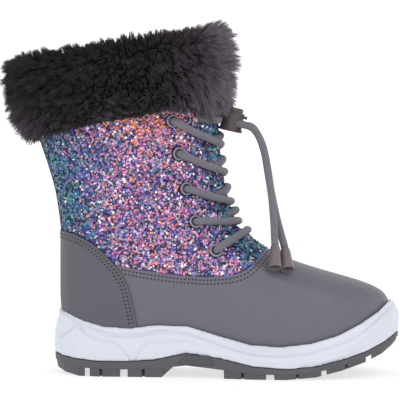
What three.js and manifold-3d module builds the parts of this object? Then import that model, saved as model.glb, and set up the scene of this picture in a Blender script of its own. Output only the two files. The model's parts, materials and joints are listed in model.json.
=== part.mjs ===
// A child's right snow boot: moulded sole, leather foot, laced glitter shaft and fur cuff.
// Millimetres. X runs from heel to toe, +Y is the inner side of the foot, Z rises from the ground.
import * as THREE from "three";
import { mergeVertices } from "three/addons/utils/BufferGeometryUtils.js";
import Module from "manifold-3d";

const wasm = await Module();
wasm.setup();

// ---------------------------------------------------------------- driving sizes
const SOLE_BACK = -106;
const SOLE_FRONT = 106;
const SOLE_HEEL_ROUND = 33;
const SOLE_TOE_ROUND = 44;
const WALL = 3.5; // leather or glitter cloth and its plush lining together
const GAP = 0.3; // clearance kept between touching pieces
const RIM_LIP = 1.6; // thickness of the midsole's top edge
const COUNTER_THICK = 1.1;
const INSOLE_THICK = 4;
const TONGUE_THICK = 4;
const TONGUE_BULGE = 4.4;
const FUR_DEPTH = 15;
const FUR_SPLIT = 0.016; // half the gap between the cuff's two front ends, as a turn
const LACE_RADIUS = 2.15;
const RING_POINTS = 32;

const COLOURS = {
  rubber: 0x58575b,
  foam: 0xe2e5f0,
  leather: 0x6f6d74,
  glitter: 0x8d83a6,
  lining: 0x6a6568,
  fur: 0x3c373a,
  metal: 0x8a8a90,
  lace: 0x6a6970,
  plastic: 0x554b4b,
  bell: 0x786c6e,
};

// The sole seen from above: its middle line and its half width along the foot.
const SOLE_PLAN = [
  { x: -106, mid: 0, half: 31.5 },
  { x: -80, mid: 0, half: 32.3 },
  { x: -50, mid: -0.7, half: 31 },
  { x: -20, mid: -2.5, half: 30.5 },
  { x: 10, mid: -2.5, half: 35.5 },
  { x: 35, mid: 0, half: 40.5 },
  { x: 60, mid: 3, half: 41 },
  { x: 85, mid: 6, half: 37.5 },
  { x: 106, mid: 7.5, half: 32 },
];

// The sole seen from the side: tread on the ground, web between the lugs, seam with the midsole.
const OUTSOLE_SIDE = [
  { x: -106, tread: 6.5, web: 9.6, seam: 13 },
  { x: -102, tread: 3.6, web: 8.2, seam: 12.2 },
  { x: -95, tread: 1.4, web: 6.6, seam: 10.9 },
  { x: -88, tread: 0, web: 5.6, seam: 10.2 },
  { x: -67, tread: 0, web: 4.6, seam: 8.9 },
  { x: -43, tread: 0, web: 5, seam: 10 },
  { x: -26, tread: 0, web: 7.4, seam: 14.1 },
  { x: -19, tread: 0, web: 7.6, seam: 14.8 },
  { x: -8, tread: 0, web: 7.2, seam: 14 },
  { x: 1, tread: 0, web: 5.4, seam: 11.7 },
  { x: 18, tread: 0, web: 3.4, seam: 7.9 },
  { x: 35, tread: 0, web: 3, seam: 6 },
  { x: 48, tread: 0, web: 3.2, seam: 6.4 },
  { x: 58, tread: 1.6, web: 4.6, seam: 7.8 },
  { x: 68, tread: 3.8, web: 6.8, seam: 10.2 },
  { x: 85, tread: 9, web: 12, seam: 14.8 },
  { x: 93, tread: 12, web: 15, seam: 18.4 },
  { x: 100, tread: 16.4, web: 18.8, seam: 21.9 },
  { x: 106, tread: 22, web: 23.6, seam: 26.4 },
];

// Height of the midsole's top edge on the outside of the boot.
const MIDSOLE_EDGE = [
  { x: -103, z: 40 },
  { x: -96, z: 38.2 },
  { x: -89, z: 35.8 },
  { x: -80, z: 32.4 },
  { x: -70, z: 30.3 },
  { x: -57, z: 29.6 },
  { x: -45, z: 31 },
  { x: -33, z: 32.4 },
  { x: -17, z: 30.8 },
  { x: 0, z: 25.4 },
  { x: 17, z: 20.7 },
  { x: 34, z: 19.5 },
  { x: 51, z: 21.1 },
  { x: 68, z: 25.4 },
  { x: 85, z: 33.7 },
  { x: 93, z: 38.8 },
  { x: 98, z: 43 },
  { x: 101, z: 46 },
];

// The midsole's side from its seam (rise 0) to its edge (rise 1): lean goes from the sole's
// outline to the edge, swell stands out from that line, more at the toe bumper.
const MIDSOLE_WALL = [
  { rise: 0, lean: 0, swell: 0, toeSwell: 0 },
  { rise: 0.22, lean: 0.1, swell: 0.9, toeSwell: 1 },
  { rise: 0.5, lean: 0.38, swell: 1.2, toeSwell: 2.2 },
  { rise: 0.72, lean: 0.66, swell: 0.9, toeSwell: 2.2 },
  { rise: 0.79, lean: 0.78, swell: -0.3, toeSwell: 1.2 },
  { rise: 0.86, lean: 0.84, swell: 0.5, toeSwell: 1.4 },
  { rise: 0.96, lean: 0.95, swell: 0.4, toeSwell: 0.6 },
  { rise: 1, lean: 1, swell: 0, toeSwell: 0 },
];

// The bed that the foot stands on, inside the midsole.
const BED = [
  { x: -95.5, z: 19.4 },
  { x: -70, z: 19.4 },
  { x: -30, z: 18.6 },
  { x: 0, z: 15.5 },
  { x: 20, z: 12.4 },
  { x: 40, z: 11.4 },
  { x: 60, z: 13 },
  { x: 80, z: 17.8 },
  { x: 92.5, z: 23.2 },
];

// The upper as closed loops from the lower edge up to the fur's top. Each loop's ends are a point
// on the back line and one on the front line; bed is how closely the loop follows the bed.
const UPPER_PROFILE = [
  { backX: -95.5, backZ: 19.4, frontX: 92.5, frontZ: 23.2, bed: 1 },
  { backX: -99.2, backZ: 29, frontX: 99.3, frontZ: 33, bed: 0.7 },
  { backX: -101.2, backZ: 40, frontX: 100.7, frontZ: 43.5, bed: 0.4 },
  { backX: -101.7, backZ: 49, frontX: 96.5, frontZ: 51, bed: 0.15 },
  { backX: -101.7, backZ: 58.5, frontX: 83.3, frontZ: 57, bed: 0 },
  { backX: -101.7, backZ: 68, frontX: 66.1, frontZ: 62, bed: 0 },
  { backX: -101.6, backZ: 77.5, frontX: 48.9, frontZ: 67.2, bed: 0 },
  { backX: -101.6, backZ: 86, frontX: 33, frontZ: 73.4, bed: 0 },
  { backX: -102.2, backZ: 93.5, frontX: 20.5, frontZ: 80.6, bed: 0 },
  { backX: -103.4, backZ: 102, frontX: 9.6, frontZ: 91, bed: 0 },
  { backX: -105, backZ: 112, frontX: 2.4, frontZ: 104, bed: 0 },
  { backX: -107.8, backZ: 122.5, frontX: -0.8, frontZ: 116.5, bed: 0 },
  { backX: -111.5, backZ: 133.5, frontX: -3, frontZ: 130, bed: 0 },
  { backX: -115.8, backZ: 146, frontX: -4.4, frontZ: 146, bed: 0 },
  { backX: -119.8, backZ: 160, frontX: -5, frontZ: 164, bed: 0 },
  { backX: -122.4, backZ: 174, frontX: -5.3, frontZ: 184, bed: 0 },
  { backX: -124, backZ: 187.5, frontX: -7, frontZ: 203, bed: 0 },
  { backX: -125, backZ: 196, frontX: -10, frontZ: 212.5, bed: 0 },
];
// The same loops' half widths at three stations, and how far their ends take to reach them.
const STATIONS = { heel: -70, waist: -20, ball: 45 };
const UPPER_WIDTH = [
  { heel: 25.5, waist: 22.5, ball: 33, backRound: 27, frontRound: 40 },
  { heel: 28.3, waist: 26.3, ball: 36.8, backRound: 29, frontRound: 41 },
  { heel: 29.6, waist: 28.4, ball: 37.6, backRound: 30, frontRound: 42 },
  { heel: 29.8, waist: 29.2, ball: 35.8, backRound: 31, frontRound: 44 },
  { heel: 29.5, waist: 29.5, ball: 33.4, backRound: 32, frontRound: 48 },
  { heel: 29, waist: 29.6, ball: 31.8, backRound: 33, frontRound: 50 },
  { heel: 28.7, waist: 29.7, ball: 31, backRound: 34, frontRound: 50 },
  { heel: 28.8, waist: 30, ball: 31, backRound: 36, frontRound: 49 },
  { heel: 29.4, waist: 30.6, ball: 31, backRound: 40, frontRound: 48 },
  { heel: 30.4, waist: 31.3, ball: 31.3, backRound: 45, frontRound: 50 },
  { heel: 31.5, waist: 32, ball: 32, backRound: 50, frontRound: 52 },
  { heel: 32.8, waist: 33, ball: 33, backRound: 53, frontRound: 54 },
  { heel: 34, waist: 34, ball: 34, backRound: 55, frontRound: 55 },
  { heel: 35.3, waist: 35.3, ball: 35.3, backRound: 56, frontRound: 56 },
  { heel: 36.6, waist: 36.6, ball: 36.6, backRound: 57, frontRound: 58 },
  { heel: 37.6, waist: 37.6, ball: 37.6, backRound: 58, frontRound: 59 },
  { heel: 38, waist: 38, ball: 38, backRound: 59, frontRound: 59 },
  { heel: 38, waist: 38, ball: 38, backRound: 59, frontRound: 59 },
];
const UPPER = UPPER_PROFILE.map((row, level) => ({ ...row, ...UPPER_WIDTH[level] }));
const COLLAR_LEVEL = 16; // the loop at the shaft's top edge
const FUR_TOP_LEVEL = 17;

// Half width of the throat that the laces close, seen from the front.
const THROAT = [
  { z: 87.5, half: 0.5 },
  { z: 89, half: 5 },
  { z: 92, half: 8.6 },
  { z: 97, half: 11.4 },
  { z: 104, half: 14 },
  { z: 118, half: 17 },
  { z: 141, half: 18.7 },
  { z: 160, half: 21.3 },
  { z: 220, half: 24 },
];

// The heel counter's front edge, from the back line down to the midsole.
const COUNTER_EDGE = [
  [-112, 88.4],
  [-97, 87.6],
  [-89.8, 85.8],
  [-83.5, 83.3],
  [-77.7, 80],
  [-67.6, 71],
  [-61.4, 64],
  [-56.6, 55.8],
  [-53, 41.3],
  [-50.8, 27],
];

// One side's eyelets from the top down. From each, the near and the far strand cross the middle
// at the heights nearZ and farZ, their own middles a lift out of the skin.
const EYELETS = [
  { x: -29.2, z: 155.4, nearZ: 141.3, farZ: 146.3, lift: 2.6 },
  { x: -25.5, z: 135.6, nearZ: 124.1, farZ: 132, lift: 2.8 },
  { x: -21.1, z: 114.3, nearZ: 105.8, farZ: 114.7, lift: 3.1 },
  { x: -15.5, z: 94.2, nearZ: 93.9, farZ: 100.2, lift: 4.6 },
  { x: -2.8, z: 77, nearZ: 87.4 },
];
const STRAND_END = { inside: 3.1, lift: 1.9, drop: 0.12, fall: 0.15 }; // where a strand dips under a flap
const EYELET = { hole: 2.45, barrel: 3, flange: 4.2, proud: 1.2, seat: 3.3 };

// The fur cuff's section: rise from its lower edge to its top, proud as a share of its depth.
// The first row is the inner top corner and the eighth the lower one.
const FUR_SECTION = [
  { rise: 1, proud: 0.05 },
  { rise: 1, proud: 0.36 },
  { rise: 0.95, proud: 0.7 },
  { rise: 0.8, proud: 0.94 },
  { rise: 0.55, proud: 1 },
  { rise: 0.28, proud: 0.93 },
  { rise: 0.08, proud: 0.62 },
  { rise: 0, proud: 0.1 },
  { rise: 0.1, proud: 0 },
  { rise: 0.28, proud: 0 },
  { rise: 0.55, proud: 0 },
  { rise: 0.76, proud: 0 },
  { rise: 0.84, proud: -0.15 },
  { rise: 0.95, proud: -0.18 },
];
const FUR_LOW = { back: 13.05, front: 14.15 }; // levels of the cuff's lower edge
const FUR_STATIONS = 34;

// Channels between the lugs, each a straight cut through the tread: some run right across in a
// slight fan, nicks run in from both edges, and the others lie in the middle.
const CROSS_CUTS = [
  { x: -86, width: 3, turn: 98.5 },
  { x: -63, width: 4.6, turn: 97.5 },
  { x: 27.5, width: 5, turn: 95 },
  { x: 60.5, width: 3.2, turn: 93.5 },
  { x: 88, width: 3.2, turn: 92 },
];
const EDGE_NICKS = [-73, -47, 14, 47, 76];
const MIDDLE_CUTS = [
  { x: -74, y: 0, length: 27, width: 3.2, turn: 98 },
  { x: -63.5, y: 13, length: 45, width: 3.2, turn: 0 },
  { x: -63.5, y: -13, length: 45, width: 3.2, turn: 0 },
  { x: -50, y: 0, length: 27, width: 3.2, turn: 97 },
  { x: 42, y: 19, length: 76, width: 3.4, turn: 4 },
  { x: 42, y: -17, length: 76, width: 3.4, turn: 2 },
  { x: 12, y: 1, length: 38, width: 3.4, turn: 76 },
  { x: 44, y: 1, length: 38, width: 3.4, turn: 104 },
  { x: 74, y: 2, length: 40, width: 3.4, turn: 80 },
];
const ARCH_CUT = { back: -36, front: 2.5 };
const CUT_HEIGHT = 70;

// The cord lock: a barrel with a sprung button, on both laces in front of the tongue.
const LOCK = {
  centre: new THREE.Vector3(4.4, -1.5, 155.2),
  lean: 13,
  radius: 6.7,
  flange: 7.5,
  flangeHeight: 1.5,
  low: -6.2,
  high: 5.7,
  socket: 5.8,
  socketFloor: 2.3,
  boreZ: -0.6,
  boreTurn: -20,
  boreHalfWidth: 5,
  boreHalfHeight: 2.55,
  buttonRadius: 5.4,
  buttonLow: 4.8,
  buttonHigh: 8.5,
  cordSpacing: 2.35,
  tab: [2.6, 4, 2],
};
const BELL = { top: 2.9, mouth: 4.2, length: 15.5 };

// Routes of the two free lace ends from the lock to their bells.
const LACE_END_ROUTES = [
  [
    [18.3, -7.6, 150],
    [24.6, -10.4, 138],
    [29.3, -16, 113.4],
    [31.4, -21.4, 97],
    [32.7, -27.2, 80.4],
  ],
  [
    [18, -2.8, 150.4],
    [24, -5.8, 138],
    [28.9, -10.4, 113.4],
    [32.6, -15, 97.3],
    [38.3, -22.2, 78.5],
  ],
];
const BELL_ENDS = [
  [33.4, -35.6, 65.5],
  [40.8, -31.2, 64.4],
];
// Routes of the laces from the throat's edges to the lock's back.
const LEAD_ROUTES = [
  [
    [-11.6, -17.4, 156.6],
    [-7.8, -15.2, 156.3],
    [-3.6, -12.2, 156],
    [-0.1, -8.2, 155.6],
  ],
  [
    [-11.6, 17.4, 156.6],
    [-7.6, 13.6, 156.3],
    [-3.6, 9.4, 156],
    [-0.1, 5.2, 155.6],
  ],
];

// ---------------------------------------------------------------- curves and solids
const lerp = THREE.MathUtils.lerp;
const degrees = THREE.MathUtils.degToRad;

// A smooth function through two lists, monotone between neighbours and level beyond the ends.
function smooth(xs, ys) {
  const steps = xs.slice(1).map((x, i) => (ys[i + 1] - ys[i]) / (x - xs[i]));
  const slopes = xs.map((_, i) => {
    const before = steps[Math.max(i - 1, 0)];
    const after = steps[Math.min(i, steps.length - 1)];
    return before * after <= 0 ? 0 : (2 * before * after) / (before + after);
  });
  return (x) => {
    if (x <= xs[0]) return ys[0];
    if (x >= xs.at(-1)) return ys.at(-1);
    const i = xs.findIndex((value) => value > x) - 1;
    const width = xs[i + 1] - xs[i];
    const t = (x - xs[i]) / width;
    const rest = 1 - t;
    return (
      ys[i] * (1 + 2 * t) * rest * rest +
      slopes[i] * width * t * rest * rest +
      ys[i + 1] * t * t * (3 - 2 * t) -
      slopes[i + 1] * width * t * t * rest
    );
  };
}

const column = (table, along, name) =>
  smooth(
    table.map((row) => row[along]),
    table.map((row) => row[name]),
  );

const soleMid = column(SOLE_PLAN, "x", "mid");
const soleHalf = column(SOLE_PLAN, "x", "half");
const treadZ = column(OUTSOLE_SIDE, "x", "tread");
const webZ = column(OUTSOLE_SIDE, "x", "web");
const seamZ = column(OUTSOLE_SIDE, "x", "seam");
const edgeZ = column(MIDSOLE_EDGE, "x", "z");
const bedZ = column(BED, "x", "z");
const throatHalf = column(THROAT, "z", "half");

const levels = UPPER.map((_, i) => i);
const upper = Object.fromEntries(
  Object.keys(UPPER[0]).map((name) => [name, smooth(levels, UPPER.map((row) => row[name]))]),
);

// The share of full width at a distance from a loop's end, as on a circle.
function roundEnd(distance, radius) {
  const q = THREE.MathUtils.clamp(distance / radius, 0, 1);
  return Math.sqrt(1 - (1 - q) * (1 - q));
}

// A turn of -1 is the back line, -0.5 the outer side, 0 the front line and 0.5 the inner side.
const alongOf = (turn) => (1 + Math.cos(Math.PI * turn)) / 2;
const ringTurns = Array.from({ length: RING_POINTS }, (_, i) => -1 + (2 * i) / RING_POINTS);

function bedDip(x) {
  const [first] = UPPER;
  const share = THREE.MathUtils.clamp((x - first.backX) / (first.frontX - first.backX), 0, 1);
  return lerp(first.backZ, first.frontZ, share) - bedZ(x);
}

function skinPoint(level, turn) {
  const wrapped = turn < -1 ? turn + 2 : turn > 1 ? turn - 2 : turn;
  const along = alongOf(wrapped);
  const back = upper.backX(level);
  const front = upper.frontX(level);
  const x = lerp(back, front, along);
  const widths = smooth(
    [STATIONS.heel, STATIONS.waist, STATIONS.ball],
    [upper.heel(level), upper.waist(level), upper.ball(level)],
  );
  const ends = roundEnd(x - back, upper.backRound(level)) * roundEnd(front - x, upper.frontRound(level));
  const z = lerp(upper.backZ(level), upper.frontZ(level), along) - upper.bed(level) * bedDip(x);
  return new THREE.Vector3(x, soleMid(x) + Math.sign(wrapped) * widths(x) * ends, z);
}

function skinNormal(level, turn) {
  const low = Math.max(level - 0.02, 0);
  const high = Math.min(level + 0.02, FUR_TOP_LEVEL);
  const up = skinPoint(high, turn).sub(skinPoint(low, turn));
  const round = skinPoint(level, turn + 0.004).sub(skinPoint(level, turn - 0.004));
  return round.cross(up).normalize();
}

// A point a distance out from the upper's outer face, which everything on the boot is set by.
function skin(level, turn, out) {
  return skinPoint(level, turn).addScaledVector(skinNormal(level, turn), out);
}

// The level at which the skin, at one turn, reaches a height that may depend on x.
function levelAt(turn, out, heightOf, low = 0, high = FUR_TOP_LEVEL) {
  for (let i = 0; i < 24; i += 1) {
    const middle = (low + high) / 2;
    const point = skin(middle, turn, out);
    if (point.z < heightOf(point.x)) low = middle;
    else high = middle;
  }
  return (low + high) / 2;
}

// Level and turn of a place on one side of the boot, given its x and z.
function locate(x, z, side) {
  let near = 0;
  let far = 1;
  let level = 0;
  for (let i = 0; i < 24; i += 1) {
    const turn = (near + far) / 2;
    level = levelAt(side * turn, 0, () => z);
    if (skinPoint(level, side * turn).x > x) near = turn;
    else far = turn;
  }
  return { level, turn: (side * (near + far)) / 2 };
}

// A closed surface through rings of equal length, joined end to end, or capped by a ladder
// between each ring's two halves.
function loft(rings, { loop = false } = {}) {
  const count = rings[0].length;
  const faces = [];
  const last = loop ? rings.length : rings.length - 1;
  const at = (ring, i) => (ring % rings.length) * count + ((i + count) % count);
  for (let ring = 0; ring < last; ring += 1) {
    for (let i = 0; i < count; i += 1) {
      faces.push(at(ring, i), at(ring, i + 1), at(ring + 1, i + 1));
      faces.push(at(ring, i), at(ring + 1, i + 1), at(ring + 1, i));
    }
  }
  if (!loop) {
    const top = rings.length - 1;
    for (let i = 0; i < count / 2; i += 1) {
      if (i > 0) {
        faces.push(at(top, i), at(top, i + 1), at(top, -i));
        faces.push(at(0, i), at(0, -i), at(0, i + 1));
      }
      if (i + 1 < count / 2) {
        faces.push(at(top, i + 1), at(top, -i - 1), at(top, -i));
        faces.push(at(0, i + 1), at(0, -i), at(0, -i - 1));
      }
    }
  }
  const geometry = new THREE.BufferGeometry().setFromPoints(rings.flat());
  geometry.setIndex(signedVolume(rings.flat(), faces) < 0 ? faces.reverse() : faces);
  return geometry;
}

function signedVolume(points, faces) {
  let sum = 0;
  for (let i = 0; i < faces.length; i += 3) {
    const [a, b, c] = [points[faces[i]], points[faces[i + 1]], points[faces[i + 2]]];
    sum += a.dot(new THREE.Vector3().crossVectors(b, c));
  }
  return sum / 6;
}

function solid(geometry) {
  const bare = geometry.index ? geometry.toNonIndexed() : geometry.clone();
  bare.deleteAttribute("normal");
  bare.deleteAttribute("uv");
  const merged = mergeVertices(bare, 1e-4);
  return new wasm.Manifold(
    new wasm.Mesh({
      numProp: 3,
      vertProperties: new Float32Array(merged.attributes.position.array),
      triVerts: new Uint32Array(merged.index.array),
    }),
  );
}

function geometryOf(body) {
  const { vertProperties, triVerts } = body.getMesh();
  const geometry = new THREE.BufferGeometry();
  geometry.setAttribute("position", new THREE.BufferAttribute(vertProperties, 3));
  geometry.setIndex(new THREE.BufferAttribute(triVerts, 1));
  return geometry;
}

function tube(points, steps) {
  const shape = new THREE.Shape();
  shape.absarc(0, 0, LACE_RADIUS, 0, 2 * Math.PI);
  const extrudePath = new THREE.CatmullRomCurve3(points, false, "centripetal");
  return new THREE.ExtrudeGeometry(shape, { steps, extrudePath, curveSegments: 4, bevelEnabled: false });
}

function lathe(profile, segments) {
  const points = profile.map(([radius, height]) => new THREE.Vector2(radius, height));
  const geometry = new THREE.LatheGeometry(points, segments);
  return geometry.rotateX(Math.PI / 2);
}

const group = new THREE.Group();

function add(name, geometry, colour, roughness, metalness = 0) {
  const material = new THREE.MeshStandardMaterial({ color: colour, roughness, metalness });
  const mesh = new THREE.Mesh(geometry, material);
  mesh.name = name;
  group.add(mesh);
  return mesh;
}

// ---------------------------------------------------------------- sole
function soleOutline(turn, inset = 0) {
  const x = lerp(SOLE_BACK + inset, SOLE_FRONT - inset, alongOf(turn));
  const ends =
    roundEnd(x - SOLE_BACK - inset, SOLE_HEEL_ROUND) * roundEnd(SOLE_FRONT - inset - x, SOLE_TOE_ROUND);
  return new THREE.Vector3(x, soleMid(x) + Math.sign(turn) * (soleHalf(x) - inset) * ends, 0);
}

function soleRing(heightOf, inset = 0) {
  return ringTurns.map((turn) => {
    const point = soleOutline(turn, inset);
    point.z = heightOf(point.x);
    return point;
  });
}

// A straight upright cut through the tread, centred on a place and turned from the X axis.
function treadCut(x, y, length, width, turn) {
  const box = new THREE.BoxGeometry(length, width, CUT_HEIGHT);
  box.rotateZ(degrees(turn));
  box.translate(x, y, 0);
  return solid(box);
}

function outsole() {
  const plate = solid(loft([soleRing(webZ), soleRing(seamZ)]));
  const lugs = solid(loft([soleRing(treadZ, 1.4), soleRing((x) => webZ(x) + 0.8, 0.3)]));
  const cuts = [
    treadCut((ARCH_CUT.back + ARCH_CUT.front) / 2, 0, ARCH_CUT.front - ARCH_CUT.back, 100, 0),
    ...CROSS_CUTS.map((cut) => treadCut(cut.x, soleMid(cut.x), 100, cut.width, cut.turn)),
    ...MIDDLE_CUTS.map((cut) => treadCut(cut.x, cut.y, cut.length, cut.width, cut.turn)),
  ];
  for (const side of [-1, 1]) {
    for (const x of EDGE_NICKS) cuts.push(treadCut(x, soleMid(x) + side * soleHalf(x), 12, 1.8, 90));
  }
  const tread = cuts.reduce((left, cut) => left.subtract(cut), lugs);
  return geometryOf(plate.add(tread));
}

// The point of the midsole's top edge at one turn, just outside the upper.
function rimPoint(turn) {
  const level = levelAt(turn, RIM_LIP + GAP, edgeZ, 0, 5);
  return skin(level, turn, RIM_LIP + GAP);
}

const TURN_STEP = 0.01;
const TOE_START = 60;
function midsoleRing({ rise, lean, swell, toeSwell }) {
  return ringTurns.map((turn) => {
    const foot = soleOutline(turn);
    const rim = rimPoint(turn);
    const ahead = soleOutline(Math.min(turn + TURN_STEP, 1));
    const tangent = ahead.sub(soleOutline(Math.max(turn - TURN_STEP, -1)));
    const outward = new THREE.Vector3(tangent.y, -tangent.x, 0).normalize();
    if (Math.abs(turn) === 1) outward.set(-1, 0, 0);
    const toe = THREE.MathUtils.smoothstep(foot.x, TOE_START, SOLE_FRONT);
    foot.z = seamZ(foot.x) + GAP;
    const point = foot.clone().lerp(rim, lean);
    point.z = lerp(foot.z, rim.z, rise);
    return point.addScaledVector(outward, lerp(swell, toeSwell, toe));
  });
}

// The solid that the upper fills from its lower edge up to a level, grown by a distance.
function upperForm(out, topLevel, floorDrop = 0) {
  const rings = [];
  for (let level = 0; level <= topLevel; level += 0.5) {
    rings.push(ringTurns.map((turn) => skin(level, turn, out)));
  }
  rings[0].forEach((point) => (point.z -= floorDrop));
  return solid(loft(rings));
}

// The midsole before the upper's room is taken out, raised by a distance.
function midsoleForm(raise = 0) {
  return solid(loft(MIDSOLE_WALL.map(midsoleRing)).translate(0, 0, raise));
}

function midsole() {
  return geometryOf(midsoleForm().subtract(upperForm(GAP, 6, GAP)));
}

function insole() {
  const ring = (raise) =>
    ringTurns.map((turn) => {
      const point = skin(0, turn, -(WALL + 3 * GAP));
      point.z = bedZ(point.x) + raise;
      return point;
    });
  return loft([ring(0), ring(INSOLE_THICK)]);
}

// ---------------------------------------------------------------- upper
function throatCutter() {
  const heights = [];
  for (let z = 87.5; z < 104; z += 1.5) heights.push(z);
  for (let z = 104; z <= 230; z += 9) heights.push(z);
  const shape = new THREE.Shape([
    ...heights.map((z) => new THREE.Vector2(throatHalf(z), z)),
    ...heights.reverse().map((z) => new THREE.Vector2(-throatHalf(z), z)),
  ]);
  const cutter = new THREE.ExtrudeGeometry(shape, { depth: 90, bevelEnabled: false });
  cutter.applyMatrix4(
    new THREE.Matrix4().makeBasis(
      new THREE.Vector3(0, 1, 0),
      new THREE.Vector3(0, 0, 1),
      new THREE.Vector3(1, 0, 0),
    ),
  );
  cutter.translate(-50, 0, 0);
  return solid(cutter);
}

// Turns a piece built upright round the origin so that it stands out of the skin at a place.
function seatMatrix(place) {
  const normal = skinNormal(place.level, place.turn);
  const turn = new THREE.Quaternion().setFromUnitVectors(new THREE.Vector3(0, 0, 1), normal);
  const origin = skinPoint(place.level, place.turn);
  return new THREE.Matrix4().compose(origin, turn, new THREE.Vector3(1, 1, 1));
}

const eyeletPlaces = [-1, 1].map((side) => EYELETS.map((row) => locate(row.x, row.z, side)));

function upperBody() {
  const outer = [0, 1, 1.5, 2, 2.5, 3, 3.5, 4, 4.6, 5.3, 6, 6.7, 7.4, 8.2, 9, 10, 11, 12, 13, 14, 15];
  outer.push(COLLAR_LEVEL);
  const inner = [COLLAR_LEVEL, 14, 12, 10, 9, 8, 7, 6, 5, 4, 3.2, 2.5, 1.5, 0];
  const rings = [
    ...outer.map((level) => ringTurns.map((turn) => skin(level, turn, 0))),
    ...inner.map((level) => ringTurns.map((turn) => skin(level, turn, -WALL))),
  ];
  let body = solid(loft(rings, { loop: true })).subtract(throatCutter());
  for (const place of eyeletPlaces.flat()) {
    const hole = new THREE.CylinderGeometry(EYELET.seat, EYELET.seat, 4 * WALL, 12);
    hole.rotateX(Math.PI / 2).applyMatrix4(seatMatrix(place));
    body = body.subtract(solid(hole));
  }
  return geometryOf(body);
}

// The tongue lies inside the wall and swells out through the throat between the flaps.
const TONGUE = { across: 13, topTurn: 0.25, lowShare: 0.72, low: 8, widens: 3 };
const TONGUE_PAD = { edge: 3, from: 5, to: 9 };
function tongueFace(level, turn, depth) {
  const place = skinPoint(level, turn);
  const room = Math.max(throatHalf(place.z) - TONGUE_PAD.edge, 1);
  const middle = THREE.MathUtils.smoothstep(1 - Math.abs(place.y) / room, 0, 0.75);
  const bulge = TONGUE_BULGE * middle * THREE.MathUtils.smoothstep(room, TONGUE_PAD.from, TONGUE_PAD.to);
  return skin(level, turn, -(WALL + 3 * GAP) + bulge - depth);
}

function tongue() {
  const rings = [];
  for (const level of [TONGUE.low, 8.5, 9, 9.5, 10, 11, 12, 13, 14, 15, 15.7]) {
    const half = TONGUE.topTurn * lerp(TONGUE.lowShare, 1, Math.min((level - TONGUE.low) / TONGUE.widens, 1));
    const turns = Array.from({ length: TONGUE.across }, (_, i) => lerp(-half, half, i / (TONGUE.across - 1)));
    const front = turns.slice(1, -1);
    rings.push([
      tongueFace(level, turns[0], TONGUE_THICK / 2),
      ...front.map((turn) => tongueFace(level, turn, 0)),
      tongueFace(level, turns.at(-1), TONGUE_THICK / 2),
      ...front.reverse().map((turn) => tongueFace(level, turn, TONGUE_THICK)),
    ]);
  }
  return loft(rings);
}

function heelCounter() {
  const shell = upperForm(GAP + COUNTER_THICK, 10).subtract(upperForm(GAP, 10.5, 1));
  const edge = new THREE.SplineCurve(COUNTER_EDGE.map(([x, z]) => new THREE.Vector2(x, z)));
  const [backX] = COUNTER_EDGE[0];
  const [, lowZ] = COUNTER_EDGE.at(-1);
  const shape = new THREE.Shape([...edge.getPoints(28), new THREE.Vector2(backX, lowZ)]);
  const prism = new THREE.ExtrudeGeometry(shape, { depth: 140, bevelEnabled: false });
  prism.rotateX(Math.PI / 2).translate(0, 70, 0);
  return geometryOf(shell.intersect(solid(prism)).subtract(midsoleForm(GAP)));
}

function furCuff() {
  const rings = Array.from({ length: FUR_STATIONS }, (_, i) => {
    const turn = lerp(FUR_SPLIT, 2 - FUR_SPLIT, i / (FUR_STATIONS - 1));
    const wrapped = turn > 1 ? turn - 2 : turn;
    const low = lerp(FUR_LOW.back, FUR_LOW.front, alongOf(wrapped));
    return FUR_SECTION.map(({ rise, proud }) =>
      skin(lerp(low, FUR_TOP_LEVEL, rise), wrapped, 2 * GAP + proud * FUR_DEPTH),
    );
  });
  return loft(rings);
}

// ---------------------------------------------------------------- lacing
function eyelet(place) {
  const foot = -(WALL + GAP);
  const profile = [
    [EYELET.hole, foot],
    [EYELET.barrel, foot],
    [EYELET.barrel, GAP],
    [EYELET.flange, GAP],
    [EYELET.flange - 0.3, EYELET.proud],
    [EYELET.hole + 0.2, EYELET.proud],
    [EYELET.hole, foot],
  ];
  return lathe(profile, 12).applyMatrix4(seatMatrix(place));
}

const onEyelet = EYELET.proud + 2 * GAP + LACE_RADIUS;
const onFlap = 2 * GAP + LACE_RADIUS;

// The turn at which one level of the skin is a distance inside the throat's edge.
function throatTurn(level, inside) {
  let low = 0;
  let high = 0.4;
  for (let i = 0; i < 20; i += 1) {
    const turn = (low + high) / 2;
    const place = skinPoint(level, turn);
    if (place.y - soleMid(place.x) < throatHalf(place.z) - inside) low = turn;
    else high = turn;
  }
  return low;
}

// A strand from over one eyelet to just inside the throat's other edge. It falls straight to the
// middle of the tongue and then runs on to its end at another level.
function strand(side, row, middle, end) {
  const from = eyeletPlaces[side < 0 ? 0 : 1][row];
  const { lift } = EYELETS[row];
  const ownLevel = (turn) => lerp(middle, from.level, turn / from.turn);
  const nearEdge = side * throatTurn(ownLevel(from.turn / 2), -1.5);
  const farEdge = -side * throatTurn(Math.min(middle, end), STRAND_END.inside);
  const level = (turn) => (turn * side > 0 ? ownLevel(turn) : lerp(middle, end, turn / farEdge));
  const stops = [
    [from.turn, onEyelet],
    [lerp(from.turn, nearEdge, 0.5), onEyelet - GAP],
    [nearEdge, onFlap],
    [nearEdge / 2, lerp(onFlap, lift, 0.7)],
    [0, lift],
    [0.6 * farEdge, lerp(lift, STRAND_END.lift, 0.6)],
    [farEdge, STRAND_END.lift],
  ];
  return tube(stops.map(([turn, out]) => skin(level(turn), turn, out)), 11);
}

// The near strand ends a little lower, and the far one just under the near strand.
function laceCrossing(row) {
  const near = levelAt(0, 0, () => EYELETS[row].nearZ);
  const far = levelAt(0, 0, () => EYELETS[row].farZ);
  const underNear = lerp(near, eyeletPlaces[0][row].level, 0.5) - STRAND_END.drop;
  const strands = [strand(-1, row, near, near - STRAND_END.fall), strand(1, row, far, underNear)];
  return geometryOf(solid(strands[0]).add(solid(strands[1])));
}

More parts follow.
